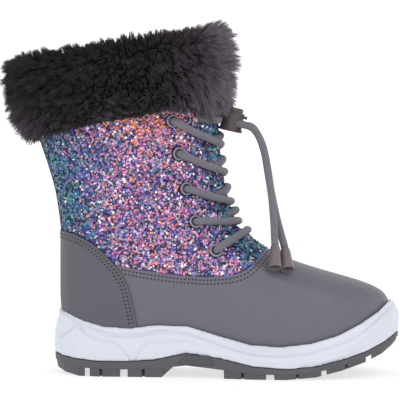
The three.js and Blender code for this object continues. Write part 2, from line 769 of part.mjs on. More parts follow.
// The lowest bar runs straight across from eyelet to eyelet.
function laceBar() {
  const row = EYELETS.length - 1;
  const middle = levelAt(0, 0, () => EYELETS[row].nearZ);
  const ringShare = 0.7; // beyond this share of the way the bar lies on the eyelet's ring
  const stops = [-1, -0.8, -0.55, -0.25, 0, 0.25, 0.55, 0.8, 1].map((share) => {
    const from = eyeletPlaces[share < 0 ? 0 : 1][row];
    const size = Math.abs(share);
    const out = size > ringShare ? onEyelet : onFlap;
    return skin(lerp(middle, from.level, size * size), Math.sign(share) * size * Math.abs(from.turn), out);
  });
  return tube(stops, 16);
}

// ---------------------------------------------------------------- cord lock
const lockMatrix = new THREE.Matrix4()
  .makeTranslation(LOCK.centre)
  .multiply(new THREE.Matrix4().makeRotationY(degrees(LOCK.lean)));
const boreAxis = new THREE.Vector3(1, 0, 0).applyAxisAngle(
  new THREE.Vector3(0, 0, 1),
  degrees(LOCK.boreTurn),
);
const boreSide = new THREE.Vector3(0, 0, 1).cross(boreAxis);

// A point in the lock's bore: distance along it and to its side.
function borePoint(along, aside) {
  return new THREE.Vector3(0, 0, LOCK.boreZ)
    .addScaledVector(boreAxis, along)
    .addScaledVector(boreSide, aside)
    .applyMatrix4(lockMatrix);
}

function boreCutter() {
  const flat = LOCK.boreHalfWidth - LOCK.boreHalfHeight;
  const shape = new THREE.Shape();
  shape.absarc(flat, 0, LOCK.boreHalfHeight, -Math.PI / 2, Math.PI / 2);
  shape.absarc(-flat, 0, LOCK.boreHalfHeight, Math.PI / 2, 1.5 * Math.PI);
  const cutter = new THREE.ExtrudeGeometry(shape, { depth: 30, bevelEnabled: false, curveSegments: 6 });
  cutter.translate(0, 0, -15);
  cutter.applyMatrix4(new THREE.Matrix4().makeBasis(boreSide, new THREE.Vector3(0, 0, 1), boreAxis));
  return cutter.translate(0, 0, LOCK.boreZ);
}

function lockBody() {
  const barrel = lathe(
    [
      [0, LOCK.low],
      [LOCK.flange - 0.5, LOCK.low],
      [LOCK.flange, LOCK.low + 0.5],
      [LOCK.flange, LOCK.low + LOCK.flangeHeight],
      [LOCK.radius, LOCK.low + LOCK.flangeHeight + 0.6],
      [LOCK.radius, LOCK.high - 0.5],
      [LOCK.radius - 0.4, LOCK.high],
      [LOCK.socket, LOCK.high],
      [LOCK.socket, LOCK.socketFloor],
      [0, LOCK.socketFloor],
    ],
    18,
  );
  const tab = new THREE.BoxGeometry(...LOCK.tab).translate(LOCK.radius + 0.5, 0, LOCK.high - 1.9);
  const body = solid(barrel).add(solid(tab)).subtract(solid(boreCutter()));
  return geometryOf(body).applyMatrix4(lockMatrix);
}

function lockButton() {
  const profile = [
    [0, LOCK.buttonLow],
    [LOCK.buttonRadius, LOCK.buttonLow],
    [LOCK.buttonRadius, LOCK.buttonHigh - 0.8],
    [LOCK.buttonRadius - 0.7, LOCK.buttonHigh - 0.1],
    [0, LOCK.buttonHigh],
  ];
  return lathe(profile, 18).applyMatrix4(lockMatrix);
}

function laceEnd(index) {
  const aside = index === 0 ? -LOCK.cordSpacing : LOCK.cordSpacing;
  const inLock = [borePoint(2, aside), borePoint(5, aside), borePoint(LOCK.radius + 1, aside)];
  const route = LACE_END_ROUTES[index].map((place) => new THREE.Vector3(...place));
  return tube([...inLock, ...route], 16);
}

// A bell crimped on a lace end, its mouth towards a second point.
function bell(index) {
  const top = new THREE.Vector3(...LACE_END_ROUTES[index].at(-1));
  const down = new THREE.Vector3(...BELL_ENDS[index]).sub(top).normalize();
  const profile = [
    [0, 2 * GAP],
    [BELL.top - 0.5, 2 * GAP],
    [BELL.top, 2 * GAP + 0.7],
    [BELL.top + 0.1, 4],
    [BELL.mouth - 0.5, BELL.length - 4],
    [BELL.mouth, BELL.length - 0.8],
    [BELL.mouth - 0.5, BELL.length],
    [0, BELL.length],
  ];
  const turn = new THREE.Quaternion().setFromUnitVectors(new THREE.Vector3(0, 0, 1), down);
  const place = new THREE.Matrix4().compose(top, turn, new THREE.Vector3(1, 1, 1));
  return lathe(profile, 12).applyMatrix4(place);
}

// ---------------------------------------------------------------- the boot
add("outsole", outsole(), COLOURS.rubber, 0.85);
add("midsole", midsole(), COLOURS.foam, 0.6);
add("insole", insole(), COLOURS.lining, 0.95);
add("upper", upperBody(), COLOURS.leather, 0.55);
add("tongue", tongue(), COLOURS.glitter, 0.5);
add("heel_counter", heelCounter(), COLOURS.leather, 0.55);
add("fur_cuff", furCuff(), COLOURS.fur, 0.95);
["outer", "inner"].forEach((name, side) => {
  eyeletPlaces[side].forEach((place, row) => {
    add(`eyelet_${name}_${row + 1}`, eyelet(place), COLOURS.metal, 0.4, 0.8);
  });
  add(`lace_lead_${name}`, tube(LEAD_ROUTES[side].map((p) => new THREE.Vector3(...p)), 6), COLOURS.lace, 0.9);
});
for (let row = 0; row < EYELETS.length - 1; row += 1) {
  add(`lace_crossing_${row + 1}`, laceCrossing(row), COLOURS.lace, 0.9);
}
add("lace_bar", laceBar(), COLOURS.lace, 0.9);
add("cord_lock_body", lockBody(), COLOURS.plastic, 0.45);
add("cord_lock_button", lockButton(), COLOURS.plastic, 0.45);
["near", "far"].forEach((name, index) => {
  add(`lace_end_${name}`, laceEnd(index), COLOURS.lace, 0.9);
  add(`lace_bell_${name}`, bell(index), COLOURS.bell, 0.4);
});

// The frame's origin lies on the ground under the middle of the boot, its free lace ends left out.
const onFreeLace = /^lace_(end|bell)/;
const span = new THREE.Box3();
for (const mesh of group.children) {
  if (!onFreeLace.test(mesh.name)) span.expandByObject(mesh, true);
}
const middle = span.getCenter(new THREE.Vector3());
group.position.set(-middle.x, -middle.y, -span.min.z);

export default group;
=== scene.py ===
# %% [markdown]
# ## A child's snow boot
# The boot has a moulded white sole unit on a grey rubber tread, a leather foot, a laced shaft
# covered with loose glitter, and a deep fur cuff. The laces end in a cord lock, and their two
# free ends hang down to a pair of bells. The construction comes packed as a fixed frame, and
# every finish is made here around it. Lengths are metres in the frame's own axes. A place
# written in millimetres is counted from the boot's own zero, under the middle of its sole.

# %% Load the frame
from contextlib import contextmanager
import json
import math

import bpy
import numpy as np
from mathutils import Matrix, Vector
from mathutils.bvhtree import BVHTree
from mathutils.kdtree import KDTree


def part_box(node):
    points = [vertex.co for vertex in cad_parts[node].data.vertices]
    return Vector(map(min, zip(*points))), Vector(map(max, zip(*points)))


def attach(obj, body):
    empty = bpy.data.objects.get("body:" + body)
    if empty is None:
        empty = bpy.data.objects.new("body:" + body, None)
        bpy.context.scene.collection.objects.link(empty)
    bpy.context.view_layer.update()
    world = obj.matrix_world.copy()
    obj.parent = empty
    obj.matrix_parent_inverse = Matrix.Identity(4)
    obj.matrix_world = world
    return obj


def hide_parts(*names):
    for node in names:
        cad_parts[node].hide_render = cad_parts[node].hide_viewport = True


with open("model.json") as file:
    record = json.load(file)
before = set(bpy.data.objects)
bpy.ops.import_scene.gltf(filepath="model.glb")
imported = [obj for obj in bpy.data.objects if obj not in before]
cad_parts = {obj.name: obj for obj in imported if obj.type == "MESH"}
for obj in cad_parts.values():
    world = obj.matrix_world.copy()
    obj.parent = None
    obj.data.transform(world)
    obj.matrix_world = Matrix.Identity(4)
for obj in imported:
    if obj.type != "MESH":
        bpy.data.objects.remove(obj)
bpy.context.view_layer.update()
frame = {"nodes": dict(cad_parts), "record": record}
MM = 0.001

# %% [markdown]
# The flat tread under the heel is 56.3 mm behind the boot's own zero, on its middle line. The
# record gives the same place in the frame, so one subtraction ties the two together.

# %% Places on the boot
HEEL_TREAD_X = -56.3
heel_mount = next(mount for mount in frame["record"]["mounts"] if mount["name"] == "heel_tread")
ZERO = Vector(heel_mount["pos_m"]) - Vector((HEEL_TREAD_X * MM, 0, 0))


def at(x, y, z):
    """A place on the boot in millimetres, as metres in the frame."""
    return ZERO + Vector((x, y, z)) * MM


print("boot zero", ZERO)

# %% [markdown]
# A camera stands level with the boot's outer side, turned a little towards the toe and raised
# a little. A long lens from 1.5 m keeps the outline nearly free of perspective.

# %% Camera
CAMERA_TURN = math.radians(6)
CAMERA_RISE = math.radians(2)
CAMERA_DISTANCE = 1.5
CAMERA_AIM = at(-15.7, 0, 106.6)
CAMERA_LENS = 219

look = Vector((
    -math.sin(CAMERA_TURN) * math.cos(CAMERA_RISE),
    math.cos(CAMERA_TURN) * math.cos(CAMERA_RISE),
    -math.sin(CAMERA_RISE),
))
bpy.ops.object.camera_add(location=CAMERA_AIM - look * CAMERA_DISTANCE)
camera = bpy.context.object
camera.rotation_euler = look.to_track_quat("-Z", "Y").to_euler()
camera.data.lens = CAMERA_LENS
camera.data.sensor_width = 36
camera.data.clip_end = 50
bpy.context.scene.camera = camera
print("camera at", camera.location)

# %% [markdown]
# A few helpers stand for what a hand does all the time at the bench: put everything down, pick
# one piece up, work on it in edit mode, and apply a modifier.

# %% Bench helpers
def put_down():
    """Deselect everything, because an operator works on all that is selected."""
    bpy.ops.object.select_all(action="DESELECT")


def pick(piece):
    """Select one piece and nothing else."""
    put_down()
    piece.select_set(True)
    bpy.context.view_layer.objects.active = piece


@contextmanager
def edit_mode(piece):
    """Open one piece in edit mode with all of it selected, and close it again."""
    pick(piece)
    bpy.ops.object.mode_set(mode="EDIT")
    bpy.ops.mesh.select_all(action="SELECT")
    yield
    bpy.ops.object.mode_set(mode="OBJECT")


def apply(piece, kind, **settings):
    """Add one modifier with its settings and apply it."""
    pick(piece)
    modifier = piece.modifiers.new(kind.lower(), kind)
    for name, value in settings.items():
        setattr(modifier, name, value)
    bpy.ops.object.modifier_apply(modifier=modifier.name)
    return piece


def soften(piece, width, angle, segments=2):
    """Bevel the edges sharper than an angle in degrees, by a width in millimetres."""
    limit = math.radians(angle)
    return apply(piece, "BEVEL", width=width * MM, segments=segments, limit_method="ANGLE", angle_limit=limit)


def place_in_mesh(piece, matrix=None):
    """Move a piece's place into its mesh, so that its object sits at the origin."""
    piece.data.transform((matrix or Matrix()) @ piece.matrix_world)
    piece.matrix_world = Matrix()
    return piece


def name_it(piece, name):
    """Give a piece and its mesh one plain name."""
    piece.name = name
    piece.data.name = name
    return piece


def finish_piece(piece, material, replaces=(), body="boot", angle=None):
    """Paint a piece, smooth its shading, and tie it to the frame."""
    if material is not None:
        piece.data.materials.clear()
        piece.data.materials.append(material)
    pick(piece)
    if angle is None:
        bpy.ops.object.shade_smooth()
    else:
        bpy.ops.object.shade_smooth_by_angle(angle=math.radians(angle))
    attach(piece, body)
    if replaces:
        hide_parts(*replaces)
    print(piece.name, len(piece.data.polygons), "faces")
    return piece


# %% [markdown]
# Every finish starts from the Principled shader. Colours are written as 0 to 255, as on a
# colour card, and turned into the renderer's linear values. A small node group adds the fine
# unevenness of a real surface: it takes a colour and a grain size, and gives back a slightly
# varied colour and a height for the Bump node.

# %% Finish helpers
def card(red, green, blue):
    """A colour card's value as the renderer's linear colour."""
    def linear(value):
        share = value / 255
        return share / 12.92 if share <= 0.04045 else ((share + 0.055) / 1.055) ** 2.4
    return (linear(red), linear(green), linear(blue), 1)


def new_group(name, inputs, outputs):
    """A shader node group with named sockets, each given as name: (socket type, default)."""
    group = bpy.data.node_groups.new(name, "ShaderNodeTree")
    for socket, (kind, default) in inputs.items():
        made = group.interface.new_socket(socket, in_out="INPUT", socket_type=kind)
        if default is not None:
            made.default_value = default
    for socket, kind in outputs.items():
        group.interface.new_socket(socket, in_out="OUTPUT", socket_type=kind)
    return group, group.nodes.new("NodeGroupInput"), group.nodes.new("NodeGroupOutput")


def set_sockets(target, **values):
    """Set unlinked inputs of a node, with an underscore for each space in their names."""
    for name, value in values.items():
        target.inputs[name.replace("_", " ")].default_value = value


def node(tree, kind, **values):
    """A node with settings (plain names) and unlinked inputs (names starting with a capital)."""
    made = tree.nodes.new(kind)
    for name, value in values.items():
        if name[0].isupper():
            set_sockets(made, **{name: value})
        else:
            setattr(made, name, value)
    return made


def maths(tree, operation, *values):
    """The result of a Math node, whose inputs are other nodes' outputs or plain numbers."""
    made = node(tree, "ShaderNodeMath", operation=operation)
    for socket, value in zip(made.inputs, values):
        if isinstance(value, bpy.types.NodeSocket):
            tree.links.new(value, socket)
        else:
            socket.default_value = value
    return made.outputs[0]


print("white on the card is", card(255, 255, 255))

# %% [markdown]
# The grain group adds two noises, a fine one and a slow one, and turns their sum into a change
# of the colour of a few per cent. Small cells under the fine noise make the height.

# %% Grain
def grain_group():
    """Fine grain over slow unevenness: Colour in, Colour, Height and Mask out."""
    group, given, result = new_group(
        "surface_grain",
        {
            "Coordinates": ("NodeSocketVector", None),
            "Colour": ("NodeSocketColor", (0.5, 0.5, 0.5, 1)),
            "Grain": ("NodeSocketFloat", 900.0),
            "Patches": ("NodeSocketFloat", 25.0),
            "Variation": ("NodeSocketFloat", 0.1),
        },
        {"Colour": "NodeSocketColor", "Height": "NodeSocketFloat", "Mask": "NodeSocketFloat"},
    )
    link = group.links.new
    fine = node(group, "ShaderNodeTexNoise", Detail=3.0, Roughness=0.6)
    slow = node(group, "ShaderNodeTexNoise", Detail=2.0)
    cells = node(group, "ShaderNodeTexVoronoi", feature="F1")
    for pattern, scale in ((fine, "Grain"), (cells, "Grain"), (slow, "Patches")):
        link(given.outputs["Coordinates"], pattern.inputs["Vector"])
        link(given.outputs[scale], pattern.inputs["Scale"])
    swing = node(group, "ShaderNodeMapRange", From_Min=0.6, From_Max=1.4)
    link(maths(group, "ADD", fine.outputs["Fac"], slow.outputs["Fac"]), swing.inputs["Value"])
    link(maths(group, "SUBTRACT", 1.0, given.outputs["Variation"]), swing.inputs["To Min"])
    link(maths(group, "ADD", 1.0, given.outputs["Variation"]), swing.inputs["To Max"])
    tint = node(group, "ShaderNodeVectorMath", operation="SCALE")
    link(given.outputs["Colour"], tint.inputs[0])
    link(swing.outputs[0], tint.inputs["Scale"])
    link(tint.outputs[0], result.inputs["Colour"])
    link(maths(group, "ADD", cells.outputs["Distance"], fine.outputs["Fac"]), result.inputs["Height"])
    link(slow.outputs["Fac"], result.inputs["Mask"])
    return group


GRAIN = grain_group()


def new_finish(name, **sockets):
    """A fresh Principled material with its tree and its shader."""
    material = bpy.data.materials.new(name)
    material.use_nodes = True
    shader = material.node_tree.nodes["Principled BSDF"]
    set_sockets(shader, **sockets)
    return material, material.node_tree, shader


def finish(name, colour, roughness, grain=900, patches=25, variation=0.08, bump=0.2, depth=0.0002,
           swing=0.06, **sockets):
    """A Principled finish with grain; swing is how far its roughness strays, sockets the rest."""
    material, tree, shader = new_finish(name, **sockets)
    place = node(tree, "ShaderNodeTexCoord")
    grains = node(tree, "ShaderNodeGroup", node_tree=GRAIN)
    set_sockets(grains, Colour=colour, Grain=grain, Patches=patches, Variation=variation)
    relief = node(tree, "ShaderNodeBump", Strength=bump, Distance=depth)
    rough = node(tree, "ShaderNodeMapRange", To_Min=roughness - swing, To_Max=roughness + swing)
    tree.links.new(place.outputs["Object"], grains.inputs["Coordinates"])
    tree.links.new(grains.outputs["Colour"], shader.inputs["Base Color"])
    tree.links.new(grains.outputs["Mask"], rough.inputs["Value"])
    tree.links.new(rough.outputs[0], shader.inputs["Roughness"])
    tree.links.new(grains.outputs["Height"], relief.inputs["Height"])
    tree.links.new(relief.outputs[0], shader.inputs["Normal"])
    return material


print("grain group has", len(GRAIN.nodes), "nodes")

# %% [markdown]
# A round lace is a braided tube with a soft core. It is swept as a tube along a smooth route,
# because a tube can carry lengthwise ribs and a map for the braid: u goes once round the lace,
# and v runs along it in lace diameters.

# %% Lace helpers
LACE_RADIUS = 2.3 * MM
LACE_RIBS = 9
LACE_SIDES = 36
SWEEP_UP = (0.3, 0.2, 0.93)  # no lace runs along this line
CURVE_PARTS = 16  # points between two stops of a smooth route


def travelled(route):
    """How far along a route each of its points lies."""
    return np.concatenate([[0], np.cumsum(np.linalg.norm(np.diff(route, axis=0), axis=1))])


def picked(marks, along, route):
    """Values of a route's rows at some marks along it."""
    return np.stack([np.interp(marks, along, route[:, axis]) for axis in range(3)], axis=1)


def smooth_route(stops, step):
    """Points a step apart on a smooth curve through the stops, as a Catmull-Rom spline."""
    stops = [Vector(stop) for stop in stops]
    padded = [stops[0] * 2 - stops[1], *stops, stops[-1] * 2 - stops[-2]]
    fine = []
    for a, b, c, d in zip(padded, padded[1:], padded[2:], padded[3:]):
        for i in range(CURVE_PARTS):
            t = i / CURVE_PARTS
            fine.append(
                0.5 * (2 * b + (c - a) * t + (2 * a - 5 * b + 4 * c - d) * t * t
                       + (3 * b - a - 3 * c + d) * t * t * t)
            )
    fine.append(stops[-1])
    fine = np.array(fine)
    along = travelled(fine)
    return picked(np.linspace(0, along[-1], max(int(along[-1] / step) + 1, 6)), along, fine)


def route_length(route):
    return float(np.linalg.norm(np.diff(route, axis=0), axis=1).sum())


def sweep(name, route, profile):
    """A closed tube along a route; profile(turns, share) gives its radius all round."""
    route = np.asarray(route)
    count = len(route)
    turns = np.linspace(0, 2 * math.pi, LACE_SIDES, endpoint=False)
    tangent = np.gradient(route, axis=0)
    tangent /= np.linalg.norm(tangent, axis=1, keepdims=True)
    side = np.cross(tangent[0], SWEEP_UP)
    rings = []
    for i in range(count):
        side = side - tangent[i] * side.dot(tangent[i])
        side /= np.linalg.norm(side)
        other = np.cross(tangent[i], side)
        radius = profile(turns, i / (count - 1))[:, None]
        rings.append(route[i] + radius * (np.cos(turns)[:, None] * side + np.sin(turns)[:, None] * other))
    points = np.concatenate([*rings, route[:1], route[-1:]])
    faces = []
    for i in range(count - 1):
        for j in range(LACE_SIDES):
            k = (j + 1) % LACE_SIDES
            a, b = i * LACE_SIDES, (i + 1) * LACE_SIDES
            faces.append((a + j, a + k, b + k, b + j))
    first, last = len(points) - 2, len(points) - 1
    top = (count - 1) * LACE_SIDES
    for j in range(LACE_SIDES):
        k = (j + 1) % LACE_SIDES
        faces.append((first, k, j))
        faces.append((last, top + j, top + k))
    mesh = bpy.data.meshes.new(name)
    mesh.from_pydata(points.tolist(), [], faces)
    along = travelled(route)
    uv = mesh.uv_layers.new(name="lace_map")
    for polygon in mesh.polygons:
        wraps = [point % LACE_SIDES for point in polygon.vertices]
        crosses = max(wraps) - min(wraps) > LACE_SIDES / 2
        for corner, point in zip(polygon.loop_indices, polygon.vertices):
            ring, turn = divmod(point, LACE_SIDES)
            if point >= first:
                ring, turn = (0 if point == first else count - 1), 0
            wrap = turn + (LACE_SIDES if crosses and turn == 0 else 0)
            uv.data[corner].uv = (wrap / LACE_SIDES, along[ring] / (2 * LACE_RADIUS))
    piece = bpy.data.objects.new(name, mesh)
    bpy.context.collection.objects.link(piece)
    return piece


print("a lace is", 2 * LACE_RADIUS, "m thick with", LACE_SIDES, "sides")

# %% [markdown]
# A lace has shallow ribs along it and a braid of fine yarns that slant both ways. The braid is
# two sine waves over the lace's own map, and the stronger of the two shows at each place. Where
# both are low, between the yarns, the colour is painted dark: painted shade in the grooves.

# %% Braided lace
YARNS_ROUND = 24.0  # half waves of yarn round the lace
YARN_CLIMB = 9.0  # and along one lace diameter
# The dark colour lies between the yarns: painted shade in the braid's grooves.
BRAID_GROOVE_SHADE = card(74, 72, 79)
BRAID_LIGHT = card(132, 130, 140)


def lace_profile(turns, share):
    """A round section with lengthwise ribs."""
    return LACE_RADIUS * (0.95 + 0.05 * np.cos(LACE_RIBS * turns))


def braid_finish():
    """Grey braid: fine slanting yarns over the ribs, from the lace's own map, with painted shade between the
    yarns.
    """
    material, tree, shader = new_finish("lace_braid", Sheen_Weight=0.25, Sheen_Roughness=0.5, Roughness=0.85)
    link = tree.links.new
    own_map = node(tree, "ShaderNodeUVMap", uv_map="lace_map")
    split = node(tree, "ShaderNodeSeparateXYZ")
    link(own_map.outputs[0], split.inputs[0])
    climb = maths(tree, "MULTIPLY", split.outputs["Y"], YARN_CLIMB)
    yarns = []
    for sense in (1, -1):
        slant = maths(tree, "MULTIPLY_ADD", split.outputs["X"], YARNS_ROUND * sense, climb)
        yarns.append(maths(tree, "SINE", maths(tree, "MULTIPLY", slant, math.pi)))
    weave = maths(tree, "MAXIMUM", *yarns)
    ramp = node(tree, "ShaderNodeValToRGB")
    for element, colour in zip(ramp.color_ramp.elements, (BRAID_GROOVE_SHADE, BRAID_LIGHT)):
        element.color = colour
    link(weave, ramp.inputs[0])
    link(ramp.outputs[0], shader.inputs["Base Color"])
    relief = node(tree, "ShaderNodeBump", Strength=0.5, Distance=0.0002)
    link(weave, relief.inputs["Height"])
    link(relief.outputs[0], shader.inputs["Normal"])
    return material


LACE_FINISH = braid_finish()
print("braid finish has", len(LACE_FINISH.node_tree.nodes), "nodes")

# %% [markdown]
# The cord lock is a small barrel that leans back with the shaft. Its own upright frame is kept
# as a matrix, so that the barrel, the button and the two cords in its bore are all placed by
# one lean. The bore is turned a little towards the outer side.

# %% Where the cord lock stands
LOCK_LEAN = math.radians(13)
LOCK_SPOT = at(4.4, -1.5, 155.2)
LOCK_PLACE = Matrix.Translation(LOCK_SPOT) @ Matrix.Rotation(LOCK_LEAN, 4, "Y")
BORE_TURN = math.radians(-20)
BORE_HEIGHT = -0.6 * MM
BORE_AXIS = Vector((math.cos(BORE_TURN), math.sin(BORE_TURN), 0))
BORE_SIDE = Vector((-math.sin(BORE_TURN), math.cos(BORE_TURN), 0))
CORD_SPACING = 2.35 * MM


def in_bore(along, aside):
    """A place in the lock's bore, in metres along it and to its side."""
    return LOCK_PLACE @ (Vector((0, 0, BORE_HEIGHT)) + BORE_AXIS * along + BORE_SIDE * aside)


print("lock at", LOCK_SPOT)

# %% [markdown]
# Both free ends leave the bore straight, bow forward over the instep and hang side by side to
# their bells, which rest on the vamp. Each is about 90 mm long. Their routes are the ones that
# the frame's own solids follow.

# %% Free lace ends
LACE_END_STOPS = {
    "near": [
        (18.3, -7.6, 150), (24.6, -10.4, 138), (29.3, -16, 113.4), (31.4, -21.4, 97), (32.7, -27.2, 80.4),
    ],
    "far": [
        (18, -2.8, 150.4), (24, -5.8, 138), (28.9, -10.4, 113.4), (32.6, -15, 97.3), (38.3, -22.2, 78.5),
    ],
}
BORE_STOPS = (2 * MM, 5 * MM, 7.7 * MM)
end_routes = {}
for name, stops in LACE_END_STOPS.items():
    aside = -CORD_SPACING if name == "near" else CORD_SPACING
    start = [in_bore(along, aside) for along in BORE_STOPS]
    route = smooth_route([*start, *(at(*stop) for stop in stops)], 1.0 * MM)
    lace = sweep(f"free_lace_{name}", route, lace_profile)
    finish_piece(lace, LACE_FINISH, [f"lace_end_{name}"])
    end_routes[name] = route
    print(name, "lace end", round(route_length(route), 4), "m")

# %% [markdown]
# Each bell is crimped on its lace: a rounded shoulder, a body that widens a little to an open
# mouth, and a thin lip. A circle is spun up the profile in edit mode by extruding and scaling,
# which leaves a real hollow at the mouth.

# %% Lace bells
BELL_STEPS = [  # height from the shoulder down, outer radius
    (0.4, 2.3), (0.9, 2.65), (2, 2.95), (4, 3.2), (7, 3.4), (10, 3.65), (13, 3.95), (14.6, 4.15),
    (15.2, 4.05),
]
BELL_BORE = [(15.2, 3.35), (12.0, 3.1), (9.5, 2.6), (9.2, 0.2)]
BELL_ENDS = {"near": (33.4, -35.6, 65.5), "far": (40.8, -31.2, 64.4)}
BELL_FINISH = finish(
    "bell_plastic", card(108, 98, 101), roughness=0.42, grain=1400, patches=60, variation=0.05,
    bump=0.12, depth=0.0001, Coat_Weight=0.15,
)


def turned(name, steps, sides=40, ring=False):
    """A shape turned on a lathe along +Z: (height, radius) steps in millimetres from the first
    circle on, each extruded from the last. Its ends are closed, or bridged to make a ring."""
    put_down()
    height, radius = steps[0]
    fill = "NOTHING" if ring else "NGON"
    bpy.ops.mesh.primitive_circle_add(
        vertices=sides, radius=radius * MM, location=(0, 0, height * MM), fill_type=fill
    )
    piece = name_it(bpy.context.object, name)
    bpy.ops.object.transform_apply(location=True)
    with edit_mode(piece):
        if ring:
            bpy.ops.mesh.select_mode(type="EDGE")
            bpy.ops.mesh.select_all(action="SELECT")
        for (low, near), (high, wide) in zip(steps, steps[1:]):
            bpy.ops.mesh.extrude_region_move(TRANSFORM_OT_translate={"value": (0, 0, (high - low) * MM)})
            bpy.ops.transform.resize(value=(wide / near, wide / near, 1), center_override=(0, 0, high * MM))
        if ring:
            bpy.ops.mesh.select_all(action="DESELECT")
            bpy.ops.mesh.select_non_manifold()
            bpy.ops.mesh.bridge_edge_loops()
        bpy.ops.mesh.select_all(action="SELECT")
        bpy.ops.mesh.normals_make_consistent(inside=False)
    return piece


for name, low_end in BELL_ENDS.items():
    bell = turned(f"bell_{name}", [*BELL_STEPS, *BELL_BORE])
    top = Vector(end_routes[name][-1])
    lie = (at(*low_end) - top).to_track_quat("Z", "Y").to_matrix().to_4x4()
    place_in_mesh(bell, Matrix.Translation(top) @ lie)
    soften(bell, 0.25, 40)
    finish_piece(bell, BELL_FINISH, [f"lace_bell_{name}"], angle=40)

# %% [markdown]
# A white table lit from below, white walls and two large soft lamps light the boot evenly, as in
# a catalogue booth. The walls are brighter than the ceiling. The key lamp stands high on the toe
# side, so that the leather toe gets a soft sheen, and the second fills the heel side.

# %% Floor and light
WALL_LIGHT = 1.32
CEILING_DROP = 0.75  # how much darker the ceiling is than the walls
bpy.ops.mesh.primitive_plane_add(size=12, location=(0, 0, 0))
floor = name_it(bpy.context.object, "floor")
FLOOR_FINISH = finish(
    "floor_table", (0.4, 0.4, 0.4, 1), roughness=0.9, grain=200, patches=3, variation=0.0, bump=0.0,
    Specular_IOR_Level=0.1, Emission_Color=(1, 1, 1, 1), Emission_Strength=0.68,
)
floor.data.materials.append(FLOOR_FINISH)
world = bpy.data.worlds.new("booth")
bpy.context.scene.world = world
world.use_nodes = True
surround = world.node_tree.nodes["Background"]
set_sockets(surround, Color=(1, 1, 1, 1))
direction = node(world.node_tree, "ShaderNodeTexCoord")
parts = node(world.node_tree, "ShaderNodeSeparateXYZ")
world.node_tree.links.new(direction.outputs["Generated"], parts.inputs[0])
upwards = maths(world.node_tree, "ABSOLUTE", parts.outputs["Z"])
strength = maths(world.node_tree, "MULTIPLY_ADD", upwards, -CEILING_DROP, WALL_LIGHT)
world.node_tree.links.new(strength, surround.inputs["Strength"])
bpy.context.scene.view_settings.view_transform = "Standard"


def soft_lamp(name, place, aim, size, power):
    """A square area lamp that faces a point."""
    bpy.ops.object.light_add(type="AREA", location=place)
    lamp = bpy.context.object
    lamp.name = name
    lamp.rotation_euler = (Vector(aim) - Vector(place)).to_track_quat("-Z", "Y").to_euler()
    lamp.data.size = size
    lamp.data.energy = power


soft_lamp("key_lamp", (0.5, -1.1, 1.1), CAMERA_AIM, 0.7, 4.5)
soft_lamp("fill_lamp", (-0.9, -0.9, 0.6), CAMERA_AIM, 0.8, 1.2)
print("booth lit, with walls of strength", WALL_LIGHT)

# %% [markdown]
# The upper is one hollow wall: outer skin, plush lining inside, open at the collar, the throat
# and underneath. Its frame solid has the right shape in flat facets. A voxel remesh gives it an
# even, fine mesh, and a light smoothing rounds the facets without moving the outline.

# %% Fine copies of the frame's solids
def copy_node(name, new_name):
    """A merged copy of a frame node's mesh as a new piece."""
    piece = bpy.data.objects.new(new_name, frame["nodes"][name].data.copy())
    piece.data.name = new_name
    bpy.context.collection.objects.link(piece)
    for key in list(piece.keys()):
        del piece[key]
    with edit_mode(piece):
        bpy.ops.mesh.remove_doubles(threshold=0.01 * MM)
    return piece


def refine(piece, voxel, rounds):
    """Remesh a closed piece evenly and smooth its facets away."""
    apply(piece, "REMESH", mode="VOXEL", voxel_size=voxel)
    apply(piece, "SMOOTH", factor=0.5, iterations=rounds)
    return piece


def vectors_of(items, name):
    """One vector of each vertex, face or normal of a mesh, as the rows of an array."""
    array = np.empty(len(items) * 3)
    items.foreach_get(name, array)
    return array.reshape(-1, 3)


def points_of(piece):
    return vectors_of(piece.data.vertices, "co")


def vertex_normals(piece):
    return vectors_of(piece.data.vertex_normals, "vector")


def face_values(piece):
    """Centres and normals of a piece's faces."""
    return vectors_of(piece.data.polygons, "center"), vectors_of(piece.data.polygons, "normal")


def tree_of(*pieces):
    """One search tree over the faces of some pieces, for rays and nearest points."""
    points, faces = [], []
    for piece in pieces:
        start = len(points)
        points += [vertex.co.copy() for vertex in piece.data.vertices]
        faces += [[start + index for index in polygon.vertices] for polygon in piece.data.polygons]
    return BVHTree.FromPolygons(points, faces)


print("the frame's upper has", len(frame["nodes"]["upper"].data.polygons), "faces")

# %% [markdown]
# A face belongs to the outside when a ray along its normal gets away without meeting the piece
# again. Points are moved along their normals to make a piece thicker or thinner.

# %% Outside and inside
RAY_START = 0.3 * MM  # off the face that a ray starts from


def looks_out(piece, reach=0.15):
    """For each face, whether a ray along its normal gets away without meeting the piece again."""
    tree = tree_of(piece)
    centres, normals = face_values(piece)
    return np.array([
        tree.ray_cast(Vector(centre + normal * RAY_START), Vector(normal), reach)[0] is None
        for centre, normal in zip(centres, normals)
    ])


def keep_faces(piece, mask):
    """Delete all faces but the masked ones."""
    pick(piece)
    bpy.ops.object.mode_set(mode="EDIT")
    bpy.ops.mesh.select_mode(type="FACE")
    bpy.ops.mesh.select_all(action="DESELECT")
    bpy.ops.object.mode_set(mode="OBJECT")
    piece.data.polygons.foreach_set("select", ~np.asarray(mask))
    bpy.ops.object.mode_set(mode="EDIT")
    bpy.ops.mesh.delete(type="FACE")
    bpy.ops.object.mode_set(mode="OBJECT")
    return piece


def duplicate(piece, name):
    copy = bpy.data.objects.new(name, piece.data.copy())
    copy.data.name = name
    bpy.context.collection.objects.link(copy)
    return copy


def set_points(piece, points):
    piece.data.vertices.foreach_set("co", np.ascontiguousarray(points, dtype=float).ravel())
    piece.data.update()


def grow(piece, distance):
    """Move every point along its normal, by one distance or one each."""
    set_points(piece, points_of(piece) + vertex_normals(piece) * np.reshape(distance, (-1, 1)))
    return piece


def boot_mm(points):
    """Places in the frame as millimetres from the boot's own zero."""
    return (np.asarray(points) - np.array(ZERO)) / MM


